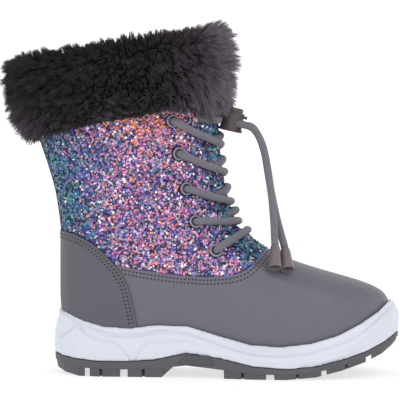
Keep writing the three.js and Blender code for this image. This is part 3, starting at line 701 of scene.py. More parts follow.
UPPER_VOXEL = 1.5 * MM
shell = refine(copy_node("upper", "shaft_wall"), UPPER_VOXEL, 14)
outer_faces = looks_out(shell)
print("upper wall", len(shell.data.polygons), "faces,", int(outer_faces.sum()), "of them outside")

# %% [markdown]
# The outer skin alone is the cutting pattern for everything sewn on it. The leather foot and
# the heel counter are cut from it along curved lines seen from the side. To cut along a curve
# with a straight bisect, the skin is first slid up or down until the curve lies level, cut, and
# slid back, which leaves a clean smooth edge.

# %% Lines for the seams
def soft_line(stops, blur=6):
    """A rounded line through a few stops: height (or any value) at a distance along the boot."""
    along = np.arange(stops[0][0], stops[-1][0] + 0.25, 0.5)
    heights = np.interp(along, *zip(*stops))
    window = np.hanning(2 * blur + 3)
    window /= window.sum()
    padded = np.pad(heights, len(window) // 2, mode="reflect", reflect_type="odd")
    heights = np.convolve(padded, window, "valid")
    return lambda x: np.interp(x, along, heights)


SEAM_LINE = soft_line([
    (-130, 74), (-102, 74), (-80, 71), (-63.4, 67.6), (-47.9, 64.9), (-26.2, 62.1), (-7.6, 61.1),
    (4.4, 62), (11, 63.4), (16.3, 65.9), (21.8, 71.6), (25.5, 77.1), (35, 95), (120, 250),
], 5)
COUNTER_LINE = soft_line([
    (-130, 88.8), (-112, 88.4), (-97, 87.6), (-89.8, 85.8), (-83.5, 83.3), (-77.7, 80), (-72.5, 76),
    (-67.6, 71), (-61.4, 64), (-56.6, 55.8), (-53, 41.3), (-50.8, 27), (-48, 0), (130, -200),
], 3)


def cut_along(piece, line, keep="below"):
    """Cut a piece along a line seen from the side and keep what is below or above it."""
    points = boot_mm(points_of(piece))
    points[:, 2] -= line(points[:, 0])
    set_points(piece, points)
    with edit_mode(piece):
        bpy.ops.mesh.bisect(
            plane_co=(0, 0, 0), plane_no=(0, 0, 1), clear_outer=keep == "below", clear_inner=keep == "above"
        )
    points = points_of(piece)
    points[:, 2] += line(points[:, 0])
    set_points(piece, points * MM + np.array(ZERO))
    return piece


skin = keep_faces(duplicate(shell, "outer_skin"), outer_faces)
skin_tree = tree_of(skin)
skin_centres, skin_normals = face_values(skin)
print("skin", len(skin.data.polygons), "faces")

# %% [markdown]
# The foot is smooth coated leather. It shows a very fine pebble, a soft sheen and slightly
# darker patches. The leather stands a little proud of the glitter cloth, with a cut edge.

# %% Leather foot
LEATHER_THICK = 1.0 * MM
ON_CUT = 0.02  # millimetres off the line that still count as the cut
SHORT_STRING = 20  # a string of fewer points is a scrap
LEATHER_FINISH = finish(
    "grey_leather", card(104, 103, 113), roughness=0.45, grain=2600, patches=22, variation=0.045,
    bump=0.16, depth=0.00012, swing=0.05, Coat_Weight=0.0, Coat_Roughness=0.35,
    Specular_IOR_Level=0.24,
)


def seam_points(panel, line):
    """The ordered points of a fresh cut, as strings of places along it."""
    points = points_of(panel)
    local = boot_mm(points)
    on_cut = np.abs(local[:, 2] - line(local[:, 0])) < ON_CUT
    links = {}
    for edge in panel.data.edges:
        a, b = edge.vertices
        if on_cut[a] and on_cut[b]:
            links.setdefault(a, []).append(b)
            links.setdefault(b, []).append(a)
    strings = []
    left = set(links)
    while left:
        ends = [point for point in left if len(links[point]) == 1]
        walk = [min(ends) if ends else min(left)]
        left.discard(walk[0])
        while True:
            step = next((point for point in links[walk[-1]] if point in left), None)
            if step is None:
                break
            left.discard(step)
            walk.append(step)
        if len(walk) > SHORT_STRING:
            strings.append(points[walk])
    return strings


def sewn_panel(name, line, lift, thick):
    """A panel of skin below a line, lifted off it, with its own thickness and softened edges."""
    panel = cut_along(duplicate(skin, name), line)
    edge = seam_points(panel, line)
    grow(panel, lift)
    apply(panel, "SOLIDIFY", thickness=thick, offset=-1, use_even_offset=True)
    soften(panel, 0.25, 55)
    return panel, edge


leather, vamp_edge = sewn_panel("leather_foot", SEAM_LINE, 0.05 * MM, LEATHER_THICK)
finish_piece(leather, LEATHER_FINISH, angle=40)
print("vamp edge in", len(vamp_edge), "strings")

# %% [markdown]
# The heel counter is a second layer of the same leather, lifted over the first, with its front
# edge swept down in one curve to the sole. Its colour is painted a little darker than the foot's:
# painted shade at the back of the boot.

# %% Heel counter
COUNTER_LIFT = 1.25 * MM
COUNTER_THICK = 1.15 * MM
counter, counter_edge = sewn_panel("heel_panel", COUNTER_LINE, COUNTER_LIFT, COUNTER_THICK)
# A darker copy of the foot's leather: painted shade at the back of the boot.
COUNTER_SHADED_FINISH = finish(
    "counter_leather_painted_shade", card(92, 91, 99), roughness=0.5, grain=2600, patches=22, variation=0.05,
    bump=0.16, depth=0.00012, swing=0.05, Coat_Weight=0.0, Coat_Roughness=0.4,
    Specular_IOR_Level=0.2,
)
finish_piece(counter, COUNTER_SHADED_FINISH, ["heel_counter"], angle=40)
print("counter edge in", len(counter_edge), "strings")

# %% [markdown]
# Stitches, glitter and fur are many copies of one small shape. The shape is modelled once, and
# its copies are sown as one mesh, each with its own place, directions and size.

# %% Sowing copies
def sow(name, master, origins, across, up, out, droop=None):
    """Copies of a small master mesh as one piece. Its X, Y and Z axes are laid on the across,
    up and out vectors of each place; droop bends it by the square of its height."""
    shape = points_of(master)
    faces = [tuple(polygon.vertices) for polygon in master.data.polygons]
    count, size = len(origins), len(shape)
    points = (
        origins[:, None, :]
        + shape[None, :, 0, None] * across[:, None, :]
        + shape[None, :, 1, None] * up[:, None, :]
        + shape[None, :, 2, None] * out[:, None, :]
    )
    if droop is not None:
        points = points + (shape[:, 2] ** 2)[None, :, None] * droop[:, None, :]
    corners = np.concatenate([np.array(face) for face in faces])
    sizes = np.array([len(face) for face in faces])
    all_corners = (corners[None, :] + size * np.arange(count)[:, None]).ravel()
    all_sizes = np.tile(sizes, count)
    mesh = bpy.data.meshes.new(name)
    mesh.vertices.add(count * size)
    mesh.vertices.foreach_set("co", points.ravel())
    mesh.loops.add(len(all_corners))
    mesh.loops.foreach_set("vertex_index", all_corners.astype(np.int32))
    mesh.polygons.add(len(all_sizes))
    starts = np.concatenate([[0], np.cumsum(all_sizes)[:-1]])
    mesh.polygons.foreach_set("loop_start", starts.astype(np.int32))
    mesh.update(calc_edges=True)
    piece = bpy.data.objects.new(name, mesh)
    bpy.context.collection.objects.link(piece)
    return piece


# %% [markdown]
# Two rows of stitches follow both edges. Seen close, each stitch is a short grey thread that
# dips into a needle hole at each end; a small dark disc there is painted shade in the hole. A row
# is laid on the skin itself, a little inside the edge: its places are a step apart, and each knows
# which way the row runs, which way is sideways and which way is out.

# %% Stitches
EDGE_EVERY = 4  # every fourth point of a cut is a stop of its smooth line
EDGE_STEP = 0.6 * MM


def unit(vectors):
    return vectors / np.maximum(np.linalg.norm(vectors, axis=-1, keepdims=True), 1e-12)


def row_inside(edge, distance, step, lift, keep):
    """Places a step apart on the skin, a distance inside an edge, with their axes."""
    marks = smooth_route(edge[::EDGE_EVERY], EDGE_STEP)
    spots = []
    for before, here, after in zip(marks, marks[1:], marks[2:]):
        where, normal, _, _ = skin_tree.find_nearest(Vector(here))
        along = (Vector(after) - Vector(before)).normalized()
        inward = normal.cross(along)
        if inward.z > 0:
            inward = -inward
        where, normal, _, _ = skin_tree.find_nearest(where + inward * distance)
        spots.append((where, normal))
    line = np.array([spot[0] for spot in spots])
    normals = np.array([spot[1] for spot in spots])
    far = travelled(line)
    marks = np.arange(step, far[-1], step)
    line, normals = picked(marks, far, line), unit(picked(marks, far, normals))
    along = unit(np.gradient(line, axis=0))
    kept = np.array([keep(*place) for place in boot_mm(line)])
    return (line + normals * lift)[kept], along[kept], np.cross(normals, along)[kept], normals[kept]


def small_master(name, kind, **settings):
    """A small primitive as the master of a sown piece, kept aside until the copies are made."""
    put_down()
    getattr(bpy.ops.mesh, f"primitive_{kind}_add")(**settings)
    return name_it(bpy.context.object, name)


def discard(*pieces):
    for piece in pieces:
        bpy.data.objects.remove(piece)


STITCH_STEP = 2.3 * MM
VAMP_INSETS = (2.0, 4.3)  # of the two rows from the edge, in millimetres
COUNTER_INSETS = (1.9, 4.1)
VAMP_STITCH_LIFT = 0.08 * MM
COUNTER_STITCH_LIFT = 1.3 * MM
THREAD_HALF = (0.75, 0.3, 0.28)  # along the row, across it and out of the leather
HOLE_HALF = (0.52, 0.46, 0.14)
thread_master = small_master("thread_master", "uv_sphere", segments=6, ring_count=4, radius=1)
hole_shade_master = small_master("hole_shade_master", "cylinder", vertices=8, radius=1, depth=1)


def before_counter(x, y, z):
    """Whether a place lies in front of the heel panel's front edge."""
    return z > COUNTER_LINE(x) + 1


def off_the_ends(x, y, z):
    """Whether a place on the heel panel is clear of the midsole and of the back seam."""
    return 31 < z and x > -107


def two_rows(edge, insets, lift, keep):
    """The rows of stitches inside each string of an edge."""
    return [row_inside(string, inset * MM, STITCH_STEP, lift, keep) for string in edge for inset in insets]


def sow_stitches(name, rows, hole_shift):
    """The threads and the dark needle holes of some rows, as two pieces; the holes are painted shade."""
    origins, along, side, out = (np.concatenate([row[i] for row in rows]) for i in range(4))
    thread_axes, hole_axes = (
        [axis * half * MM for axis, half in zip((along, side, out), halves)]
        for halves in (THREAD_HALF, HOLE_HALF)
    )
    threads = sow(f"{name}_threads", thread_master, origins, *thread_axes)
    holes = sow(f"{name}_holes", hole_shade_master, origins + along * hole_shift, *hole_axes)
    return threads, holes


vamp_rows = two_rows(vamp_edge, VAMP_INSETS, VAMP_STITCH_LIFT, before_counter)
counter_rows = two_rows(counter_edge, COUNTER_INSETS, COUNTER_STITCH_LIFT, off_the_ends)
THREAD_FINISH = finish(
    "grey_thread", card(104, 102, 112), roughness=0.7, grain=4000, patches=60, variation=0.1,
    bump=0.3, depth=0.0001, Sheen_Weight=0.3,
)
# Near-black discs at the needle holes: painted shade in the holes.
HOLE_SHADE_FINISH = finish(
    "needle_hole_shade", card(24, 23, 27), roughness=0.9, grain=3000, patches=80, variation=0.1, bump=0.1,
)
for name, rows in (("vamp_stitch", vamp_rows), ("counter_stitch", counter_rows)):
    threads, holes = sow_stitches(name, rows, STITCH_STEP / 2)
    finish_piece(threads, THREAD_FINISH)
    finish_piece(holes, HOLE_SHADE_FINISH)
discard(thread_master, hole_shade_master)

# %% [markdown]
# The shaft is cloth with loose-looking glitter glued on it. The cloth is let in a little under
# the skin, so that the chips and not the cloth make the outline. Chips and fur both need random
# places on a piece, evenly spread, and a colour for each copy.

# %% Random places
CLOTH_INSET = 0.75 * MM
normals = vertex_normals(shell)
outside_points = np.zeros(len(shell.data.vertices), dtype=bool)
for polygon, outside in zip(shell.data.polygons, outer_faces):
    if outside:
        outside_points[list(polygon.vertices)] = True
set_points(shell, points_of(shell) - normals * (outside_points * CLOTH_INSET)[:, None])


def scatter(piece, mask, count, seed):
    """Random places on the masked faces of a piece, with their normals."""
    generator = np.random.default_rng(seed)
    piece.data.calc_loop_triangles()
    total = len(piece.data.loop_triangles)
    corners = np.empty(total * 3, dtype=np.int32)
    faces = np.empty(total, dtype=np.int32)
    piece.data.loop_triangles.foreach_get("vertices", corners)
    piece.data.loop_triangles.foreach_get("polygon_index", faces)
    corners = corners.reshape(-1, 3)[np.asarray(mask)[faces]]
    points = points_of(piece)
    a, b, c = (points[corners[:, i]] for i in range(3))
    areas = np.linalg.norm(np.cross(b - a, c - a), axis=1)
    picks = generator.choice(len(areas), count, p=areas / areas.sum())
    u, v = generator.random(count), generator.random(count)
    flip = u + v > 1
    u[flip], v[flip] = 1 - u[flip], 1 - v[flip]
    weights = np.stack([1 - u - v, u, v], 1)
    normals = vertex_normals(piece)
    where = np.einsum("ij,ijk->ik", weights, points[corners[picks]])
    return where, unit(np.einsum("ij,ijk->ik", weights, normals[corners[picks]])), corners[picks], weights


def paint(piece, colours, name):
    """Point colours of a sown piece, given for each copy and each of its points."""
    attribute = piece.data.color_attributes.new(name, "FLOAT_COLOR", "POINT")
    values = np.concatenate([colours, np.ones((*colours.shape[:2], 1))], axis=2)
    attribute.data.foreach_set("color", values.astype(np.float32).ravel())


def painted_finish(name, attribute, **sockets):
    """A finish that takes its colour from a sown piece's own point colours."""
    material, tree, shader = new_finish(name, **sockets)
    colour = node(tree, "ShaderNodeAttribute", attribute_name=attribute)
    tree.links.new(colour.outputs["Color"], shader.inputs["Base Color"])
    return material


print("cloth let in at", int(outside_points.sum()), "points")

# %% [markdown]
# The chips are cut from film whose colour changes with the angle it is seen at. That change is
# painted into each chip's colour by which way its place faces, as painted reflection: teal where
# the shaft turns away, violet and blue between, pink and salmon in the middle of each side, and
# orange near the fur. The white chips are painted glints.
# One chip is modelled, a small square of film with its glued point below, and copied some tens
# of thousands of times, each copy with its own size, tilt and colour.

# %% Glitter chips
GLITTER_CARDS = {
    "teal": (72, 150, 164), "sea": (84, 158, 140), "blue": (62, 92, 186), "deep": (54, 48, 132),
    "violet": (122, 92, 184), "lilac": (176, 146, 214), "pink": (232, 138, 184), "rose": (250, 160, 168),
    "salmon": (248, 146, 118), "orange": (242, 132, 78), "navy": (26, 26, 58), "slate": (92, 112, 142),
    "white": (246, 240, 250),
}
GLITTER_COLOURS = np.array([card(*value)[:3] for value in GLITTER_CARDS.values()])
# Shares of each colour above, which paint the film's reflection by facing: where the shaft looks
# away, between, straight out, and straight out near the fur.
GLITTER_MIX_WITH_PAINTED_REFLECTION = {
    "away": (28, 15, 11, 5, 4, 3, 1, 1, 1, 0.5, 12, 14, 3),
    "between": (16, 7, 13, 7, 10, 12, 5, 3, 2, 0.6, 8, 15, 5),
    "out": (5, 1.6, 9, 6, 10, 18, 16, 10, 7, 1, 6, 12, 11),
    "top": (3, 2, 4, 5, 5, 8, 13, 12, 22, 20, 4, 4, 8),
}
CHIP_SIZE = (0.5, 1.12)
CHIP_STRETCH = (0.5, 1.35)
CHIP_DEPTH = 0.5 * MM
PATCH_SWING = 0.05  # how far slow patches shift the colours
FUR_NEAR = 134  # the height from which the warm colours of the top mix in


def ramp(value, start, width):
    """A share that climbs from 0 to 1 over a width from a start."""
    return np.clip((value - start) / width, 0, 1)


def chip_master():
    """A square of film, 1 unit from its middle to its corners, with its glued point below."""
    put_down()
    bpy.ops.mesh.primitive_cone_add(vertices=4, radius1=1, radius2=0, depth=0.5)
    chip = name_it(bpy.context.object, "chip_master")
    chip.data.transform(Matrix.Rotation(math.pi, 4, "X"))
    return chip


def chip_colours_with_painted_reflection(where, normals, seed, share=1.0):
    """A colour for each chip by how far its place looks to the side, and by its height: the film's reflection
    painted in, with white chips as painted glints.
    """
    generator = np.random.default_rng(seed)
    sideways = share * (0.95 * np.abs(normals[:, 1]) + 0.2 * normals[:, 0])
    height = boot_mm(where)[:, 2]
    slow = PATCH_SWING * np.sin(boot_mm(where)[:, 0] / 9) * np.sin(height / 11 + 1)
    out = ramp(sideways + slow, 0.8, 0.14)
    between = ramp(sideways + slow, 0.58, 0.2) * (1 - out)
    top = ramp(height, FUR_NEAR, 18) * ramp(sideways, 0.5, 0.3)
    shares = {"away": 1 - out - between, "between": between, "out": out * (1 - top), "top": out * top}
    weights = sum(shares[name][:, None] * np.array(GLITTER_MIX_WITH_PAINTED_REFLECTION[name], float)[None, :] for name in shares)
    weights = np.cumsum(weights / weights.sum(1, keepdims=True), axis=1)
    picks = (generator.random(len(where))[:, None] > weights).sum(1).clip(0, len(GLITTER_COLOURS) - 1)
    colours = GLITTER_COLOURS[picks] * generator.uniform(0.7, 1.2, (len(where), 1))
    return np.clip(colours, 0, 1)


def sow_chips(name, where, normals, seed, low, high, share=1.0, tilt=0.34):
    """Chips at some places on a cloth, standing between two heights off it."""
    generator = np.random.default_rng(seed)
    count = len(where)
    lean = unit(normals + generator.normal(0, tilt, (count, 3)))
    across = unit(np.cross(lean, unit(generator.normal(0, 1, (count, 3)))))
    up = np.cross(lean, across)
    size = generator.uniform(*CHIP_SIZE, (count, 1)) * MM
    stretch = generator.uniform(*CHIP_STRETCH, (count, 1))
    lift = generator.uniform(low, high, (count, 1))
    master = chip_master()
    chips = sow(name, master, where + normals * lift, across * size * stretch, up * size, lean * CHIP_DEPTH)
    colours = chip_colours_with_painted_reflection(where, normals, seed + 1, share)[:, None, :]
    paint(chips, np.repeat(colours, len(master.data.vertices), axis=1), "chip_colour")
    discard(master)
    return chips


print("one chip in", len(GLITTER_COLOURS), "colours")

# %% [markdown]
# Chips are glued on the outside between the leather and the fur, but not on the eyelets. The
# film is glossy and partly metallic.

# %% Glitter on the shaft
CHIP_COUNT = 29000
EYELET_CLEAR = 4.3 * MM
CHIP_FINISH = painted_finish(
    "glitter_film", "chip_colour", Metallic=0.35, Roughness=0.26, Specular_IOR_Level=0.6,
)
eyelet_middles = {
    (side, row): np.mean(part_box(f"eyelet_{side}_{row}"), axis=0)
    for side in ("outer", "inner")
    for row in range(1, 6)
}
local = boot_mm(skin_centres)
off_eyelets = np.linalg.norm(skin_centres[:, None] - np.array(list(eyelet_middles.values()))[None], axis=2)
glitter_faces = off_eyelets.min(axis=1) > EYELET_CLEAR
glitter_faces &= (local[:, 2] > SEAM_LINE(local[:, 0]) + 0.5) & (local[:, 2] > COUNTER_LINE(local[:, 0]) + 1)
glitter_faces &= local[:, 2] < np.interp(local[:, 0], [-125, 0], [158, 176])
where, out, _, _ = scatter(skin, glitter_faces, CHIP_COUNT, 11)
chips = sow_chips("shaft_glitter", where - out * CLOTH_INSET, out, 21, 0.15 * MM, 0.75 * MM)
finish_piece(chips, CHIP_FINISH, angle=20)

# %% [markdown]
# Behind the chips lies a dark cloth that also shines a little in the gaps. The same wall's
# inner side is short plush, and one wall can carry both finishes, face by face.

# %% Wall of the shaft
CLOTH_FINISH = finish(
    "glitter_cloth", card(58, 56, 96), roughness=0.35, grain=1500, patches=90, variation=0.35,
    bump=0.6, depth=0.0004, Metallic=0.3,
)
LINING_FINISH = finish(
    "plush_lining", card(92, 86, 90), roughness=0.95, grain=900, patches=40, variation=0.2,
    bump=0.9, depth=0.0012, swing=0.03, Sheen_Weight=0.5, Sheen_Roughness=0.5,
)
CLOTH_TOP = 174  # above it the wall is plush outside too, under the fur


def line_with_plush(piece, cloth_faces):
    """Plush all over a piece, and cloth on some of its faces."""
    piece.data.materials.clear()
    piece.data.materials.append(LINING_FINISH)
    piece.data.materials.append(CLOTH_FINISH)
    piece.data.polygons.foreach_set("material_index", cloth_faces.astype(np.int32))


line_with_plush(shell, outer_faces & (boot_mm(face_values(shell)[0])[:, 2] < CLOTH_TOP))
finish_piece(shell, None, ["upper"])

# %% [markdown]
# The tongue is padded, faced with the same glitter cloth and backed with plush. Only its middle
# shows between the laces, so chips are glued where it looks outwards.

# %% Tongue
TONGUE_LOW = 84
TONGUE_TOP = 172
TONGUE_CHIPS = 5200
tongue = refine(copy_node("tongue", "tongue_pad"), 1.3 * MM, 8)
centres, face_normals = face_values(tongue)
height = boot_mm(centres)[:, 2]
show = (face_normals[:, 0] > 0.35) & (height > TONGUE_LOW) & (height < TONGUE_TOP)
where, out, _, _ = scatter(tongue, show, TONGUE_CHIPS, 31)
# With a share of 0.8, the tongue's chips take more of the painted reflection of a surface turned away.
tongue_chips = sow_chips("tongue_glitter", where, out, 41, 0.1 * MM, 0.5 * MM, share=0.8)
finish_piece(tongue_chips, CHIP_FINISH, angle=20)
line_with_plush(tongue, (face_normals[:, 0] > 0.2) & (height < TONGUE_TOP))
finish_piece(tongue, None, ["tongue"])

# %% [markdown]
# A narrow dark binding covers the seam at the back of the shaft, from the heel panel up into the
# fur. It is cut from the skin with straight cuts and given its own thickness.

# %% Back binding
BINDING_HALF = 2.3
BINDING_FRONT = -90  # the strip is cut from the back of the boot only
BINDING_TOP = 152


def cut_flat(piece, place, away):
    """Cut a piece with a plane and drop the side that away points to."""
    with edit_mode(piece):
        bpy.ops.mesh.bisect(plane_co=place, plane_no=away, clear_outer=True)


binding = cut_along(duplicate(skin, "back_binding"), COUNTER_LINE, "above")
for place, away in (
    (at(0, BINDING_HALF, 0), (0, 1, 0)),
    (at(0, -BINDING_HALF, 0), (0, -1, 0)),
    (at(BINDING_FRONT, 0, 0), (1, 0, 0)),
    (at(0, 0, BINDING_TOP), (0, 0, 1)),
):
    cut_flat(binding, place, away)
grow(binding, 0.75 * MM)
apply(binding, "SOLIDIFY", thickness=1.0 * MM, offset=-1, use_even_offset=True)
BINDING_FINISH = finish(
    "binding_tape", card(38, 36, 42), roughness=0.8, grain=2600, patches=60, variation=0.1,
    bump=0.4, depth=0.0002, Sheen_Weight=0.2,
)
finish_piece(binding, BINDING_FINISH, angle=40)

# %% [markdown]
# The eyelets are pressed metal rings around real holes. One is turned, a rolled flange on a
# short barrel, and bridged shut through its bore. A copy is seated in each hole, square to the
# skin there.

# %% Eyelets
EYELET_STEPS = [
    (-3.9, 2.75), (-3.9, 3.0), (-0.1, 3.0), (0.05, 3.8), (0.4, 4.1), (0.8, 4.0), (1.1, 3.6), (1.15, 3.15),
    (0.8, 2.75),
]
SKIN_NEAR = 4 * MM  # the skin between these distances from an eyelet tells how it lies
SKIN_FAR = 9 * MM
EYELET_PROUD = 0.35 * MM
EYELET_FINISH = finish(
    "eyelet_paint", card(128, 130, 142), roughness=0.34, grain=1500, patches=80, variation=0.06,
    bump=0.1, depth=0.0001, Metallic=0.5,
)

ring = turned("ring_master", EYELET_STEPS, 32, ring=True)
eyelet_places = {}
for (side, row), spot in eyelet_middles.items():
    middle = Vector(spot)
    offsets = skin_centres - np.array(middle)
    away = np.linalg.norm(offsets, axis=1)
    same_side = skin_normals[:, 1] * (-1 if side == "outer" else 1) > 0
    around_it = (away > SKIN_NEAR) & (away < SKIN_FAR) & same_side
    normal = Vector(skin_normals[around_it].mean(0)).normalized()
    surface = float((offsets[around_it] @ np.array(normal)).mean())
    face = middle + normal * (surface + EYELET_PROUD)
    eyelet_places[side, row] = (face, normal)
    copy = duplicate(ring, f"eyelet_ring_{side}_{row}")
    place_in_mesh(copy, Matrix.Translation(face) @ normal.to_track_quat("Z", "Y").to_matrix().to_4x4())
    finish_piece(copy, EYELET_FINISH, [f"eyelet_{side}_{row}"], angle=50)
discard(ring)

# %% [markdown]
# The two laces cross on the tongue at four heights, and a bar joins the lowest eyelets. From
# the outer side, each near strand comes out of its eyelet and runs straight to the middle of the
# tongue, where it goes round to the other flap. The far strand comes over the middle a little
# higher and slips under the near one. Each stop is dropped onto the flap or the tongue from
# outside and lifted by half a lace. A lace is taut, so it spans the hollows between them.

# %% Laces on the throat
SHAFT_AXIS_X = -38
LACE_LIFT = 2.3
# Heights at which the near and the far strand of each row cross the middle, and their lift there.
CROSS_HEIGHTS = {1: (141.3, 146.3), 2: (124.1, 132), 3: (105.8, 114.7), 4: (93.9, 100.2)}
CROSS_LIFT = {1: 1.9, 2: 2.2, 3: 2.4, 4: 3.4}
BAR_MIDDLE = 87.2
RAY_REACH = 0.12  # metres from the shaft's axis that a ray starts, well outside the boot
AXIS_CLEAR = 0.01
EYELET_FREE = 8 * MM  # a lace touches nothing nearer than this to its eyelet's middle

throat_tree = tree_of(skin, tongue)


def around(turn, height, lift):
    """A place off the flap or tongue by a lift, at a turn round the shaft and at a height, or
    nothing where an eyelet's hole is there."""
    way = Vector((math.cos(turn), math.sin(turn), 0))
    axis = at(SHAFT_AXIS_X, 0, height)
    where, normal, _, _ = throat_tree.ray_cast(axis + way * RAY_REACH, -way)
    if where is None or (where - axis).dot(way) < AXIS_CLEAR:
        return None
    return where + (normal + way).normalized() * lift * MM


def taut(stops, sense):
    """Drop the stops that a taut lace would not touch, seen from above."""
    kept = []
    for stop in stops:
        while len(kept) > 1:
            first, second = kept[-1] - kept[-2], stop - kept[-1]
            if sense * (first.x * second.y - first.y * second.x) > 0:
                break
            kept.pop()
        kept.append(stop)
    return kept


def soft_route(stops, step=1.0 * MM, blur=7):
    """Even places along straight pieces between stops, with the corners rounded."""
    stops = np.array([tuple(stop) for stop in stops])
    along = travelled(stops)
    line = picked(np.linspace(0, along[-1], int(along[-1] / step) + 1), along, stops)
    window = np.hanning(blur + 2)[1:-1]
    window = window / window.sum()
    padded = np.pad(line, ((blur // 2, blur // 2), (0, 0)), mode="reflect", reflect_type="odd")
    return np.stack([np.convolve(padded[:, axis], window, "valid") for axis in range(3)], axis=1)


print("laces cross at", CROSS_HEIGHTS)

# %% [markdown]
# A strand's route has three parts: out of the eyelet and over its ring, straight to the middle
# of the tongue as seen from the side, and down under the other flap's lace.

# %% Lace strands
EYELET_EXIT = [(-4.5, 0), (-0.6, 0), (2.6, 1.9), (3.3, 4.4)]  # out of the hole, and onward
HOLE_STOPS = 3  # the first stops of a straight strand lie over the eyelet's hole
NEAR_BEYOND = [(7, 1.0, 1.9), (13, 2.0, 1.3), (20, 3.0, -0.6)]  # degrees, fall, lift
FAR_BEYOND = [(5, 0.2, 1.6), (11, 0.42, 0.6), (18, 0.5, -0.6)]  # degrees, share of the fall, lift


def out_of_eyelet(side, row, towards):
    """The first stops of a lace: from inside its eyelet, out over the ring."""
    face, normal = eyelet_places[side, row]
    way = Vector(towards) - face
    way = (way - normal * way.dot(normal)).normalized()
    return [face + normal * out * MM + way * onward * MM for out, onward in EYELET_EXIT]


def to_middle(side, row, height, lift, count=15):
    """Stops from an eyelet to the middle of the tongue, straight as seen from the side."""
    start = eyelet_places[side, row][0]
    start_x, start_y, start_z = boot_mm(start)
    turn = math.atan2(start_y, start_x - SHAFT_AXIS_X)
    shares = np.linspace(0, 1, count)
    heights = start_z + (height - start_z) * shares
    for _ in range(3):
        spots = [around(turn * (1 - share), z, lift) for share, z in zip(shares, heights)]
        found = np.array([index >= HOLE_STOPS and spot is not None for index, spot in enumerate(spots)])
        along = [boot_mm(spot)[0] for spot, there in zip(spots, found) if there]
        along = np.interp(shares, [0, *shares[found]], [start_x, *along])
        heights = start_z + (height - start_z) * (along - along[0]) / (along[-1] - along[0])
    lifts = LACE_LIFT + (lift - LACE_LIFT) * shares ** 3
    stops = [around(turn * (1 - share), z, up) for share, z, up in zip(shares, heights, lifts)]
    clear = [stop for stop in stops[HOLE_STOPS:] if stop is not None and (stop - start).length > EYELET_FREE]
    first = out_of_eyelet(side, row, clear[1])
    return first[:2] + taut(first[2:] + clear, 1 if side == "outer" else -1)


def near_strand(row):
    """Out of the near eyelet, over the middle, down under the far flap's lace."""
    height = CROSS_HEIGHTS[row][0]
    beyond = [
        around(math.radians(turn), height - drop, lift)
        for turn, drop, lift in NEAR_BEYOND
    ]
    return to_middle("outer", row, height, CROSS_LIFT[row]) + beyond


def far_strand(row):
    """Out of the far eyelet, over the middle a little higher, and under the near strand."""
    near_height, height = CROSS_HEIGHTS[row]
    fall = height - near_height
    beyond = [
        around(-math.radians(turn), height - share * fall, lift)
        for turn, share, lift in FAR_BEYOND
    ]
    return to_middle("inner", row, height, CROSS_LIFT[row]) + beyond


for row in CROSS_HEIGHTS:
    for name, stops in (("near", near_strand(row)), ("far", far_strand(row))):
        lace = sweep(f"lace_{name}_{row}", soft_route(stops), lace_profile)
        finish_piece(lace, LACE_FINISH, [f"lace_crossing_{row}"])

bar_near, bar_far = (to_middle(side, 5, BAR_MIDDLE, LACE_LIFT) for side in ("outer", "inner"))
bar = sweep("lace_lowest_bar", soft_route([*bar_near, *reversed(bar_far[:-1])]), lace_profile)
finish_piece(bar, LACE_FINISH, ["lace_bar"])

LEAD_STOPS = {
    "outer": [(-19, -20.6, 157), (-11.6, -17.4, 156.6), (-7.8, -15.2, 156.3), (-3.6, -12.2, 156)],
    "inner": [(-19, 20.6, 157), (-11.6, 17.4, 156.6), (-7.6, 13.6, 156.3), (-3.6, 9.4, 156)],
}
LEAD_BORE_STOPS = (-7.2 * MM, -3.5 * MM)
for side, stops in LEAD_STOPS.items():
    aside = -CORD_SPACING if side == "outer" else CORD_SPACING
    ends = [in_bore(along, aside) for along in LEAD_BORE_STOPS]
    route = smooth_route([*(at(*stop) for stop in stops), *ends], 1.1 * MM)
    lead = sweep(f"lace_top_{side}", route, lace_profile)
    finish_piece(lead, LACE_FINISH, [f"lace_lead_{side}"])

# %% [markdown]
# The cord lock is moulded plastic: a barrel with a lip round its foot, an oval bore right
# through it for both laces, a small tab above the bore, and a round socket in its top. The
# sprung button stands in the socket and is pressed to free the laces.

# %% Cord lock
LOCK_STEPS = [
    (-6.2, 6.9), (-5.9, 7.3), (-5.5, 7.5), (-4.9, 7.5), (-4.6, 7.3), (-4.2, 6.8), (-3.0, 6.65),
    (1.0, 6.55), (4.4, 6.6), (4.9, 6.75), (5.4, 6.75), (5.7, 6.5), (5.7, 5.85), (5.4, 5.75), (2.3, 5.75),
]
BUTTON_STEPS = [
    (4.8, 5.1), (5.0, 5.4), (7.6, 5.4), (8.1, 5.3), (8.4, 5.0), (8.5, 4.5), (8.25, 4.2), (8.15, 2.0),
]
LOCK_SIDES = 48
TAB_SIZE = (2.9, 4.2, 1.9)
TAB_PLACE = (7.1, 0, 3.7)
BORE_HALF = (2.75, 5.1)  # of the oval bore, up and aside
LOCK_FINISH = finish(
    "lock_plastic", card(72, 62, 64), roughness=0.4, grain=1800, patches=70, variation=0.05,
    bump=0.12, depth=0.0001, Coat_Weight=0.12,
)


def box_piece(name, size, place):
    """A block of a size in millimetres with its middle at a place."""
    put_down()
    bpy.ops.mesh.primitive_cube_add(size=1)
    block = name_it(bpy.context.object, name)
    stretch = Matrix.Diagonal((*(Vector(size) * MM), 1))
    return place_in_mesh(block, Matrix.Translation(Vector(place) * MM) @ stretch)


def cut_or_join(piece, tool, operation):
    """Join a second solid to a piece or cut it out, and clear the tool away."""
    apply(piece, "BOOLEAN", object=tool, operation=operation, solver="EXACT")
    discard(tool)
    return piece


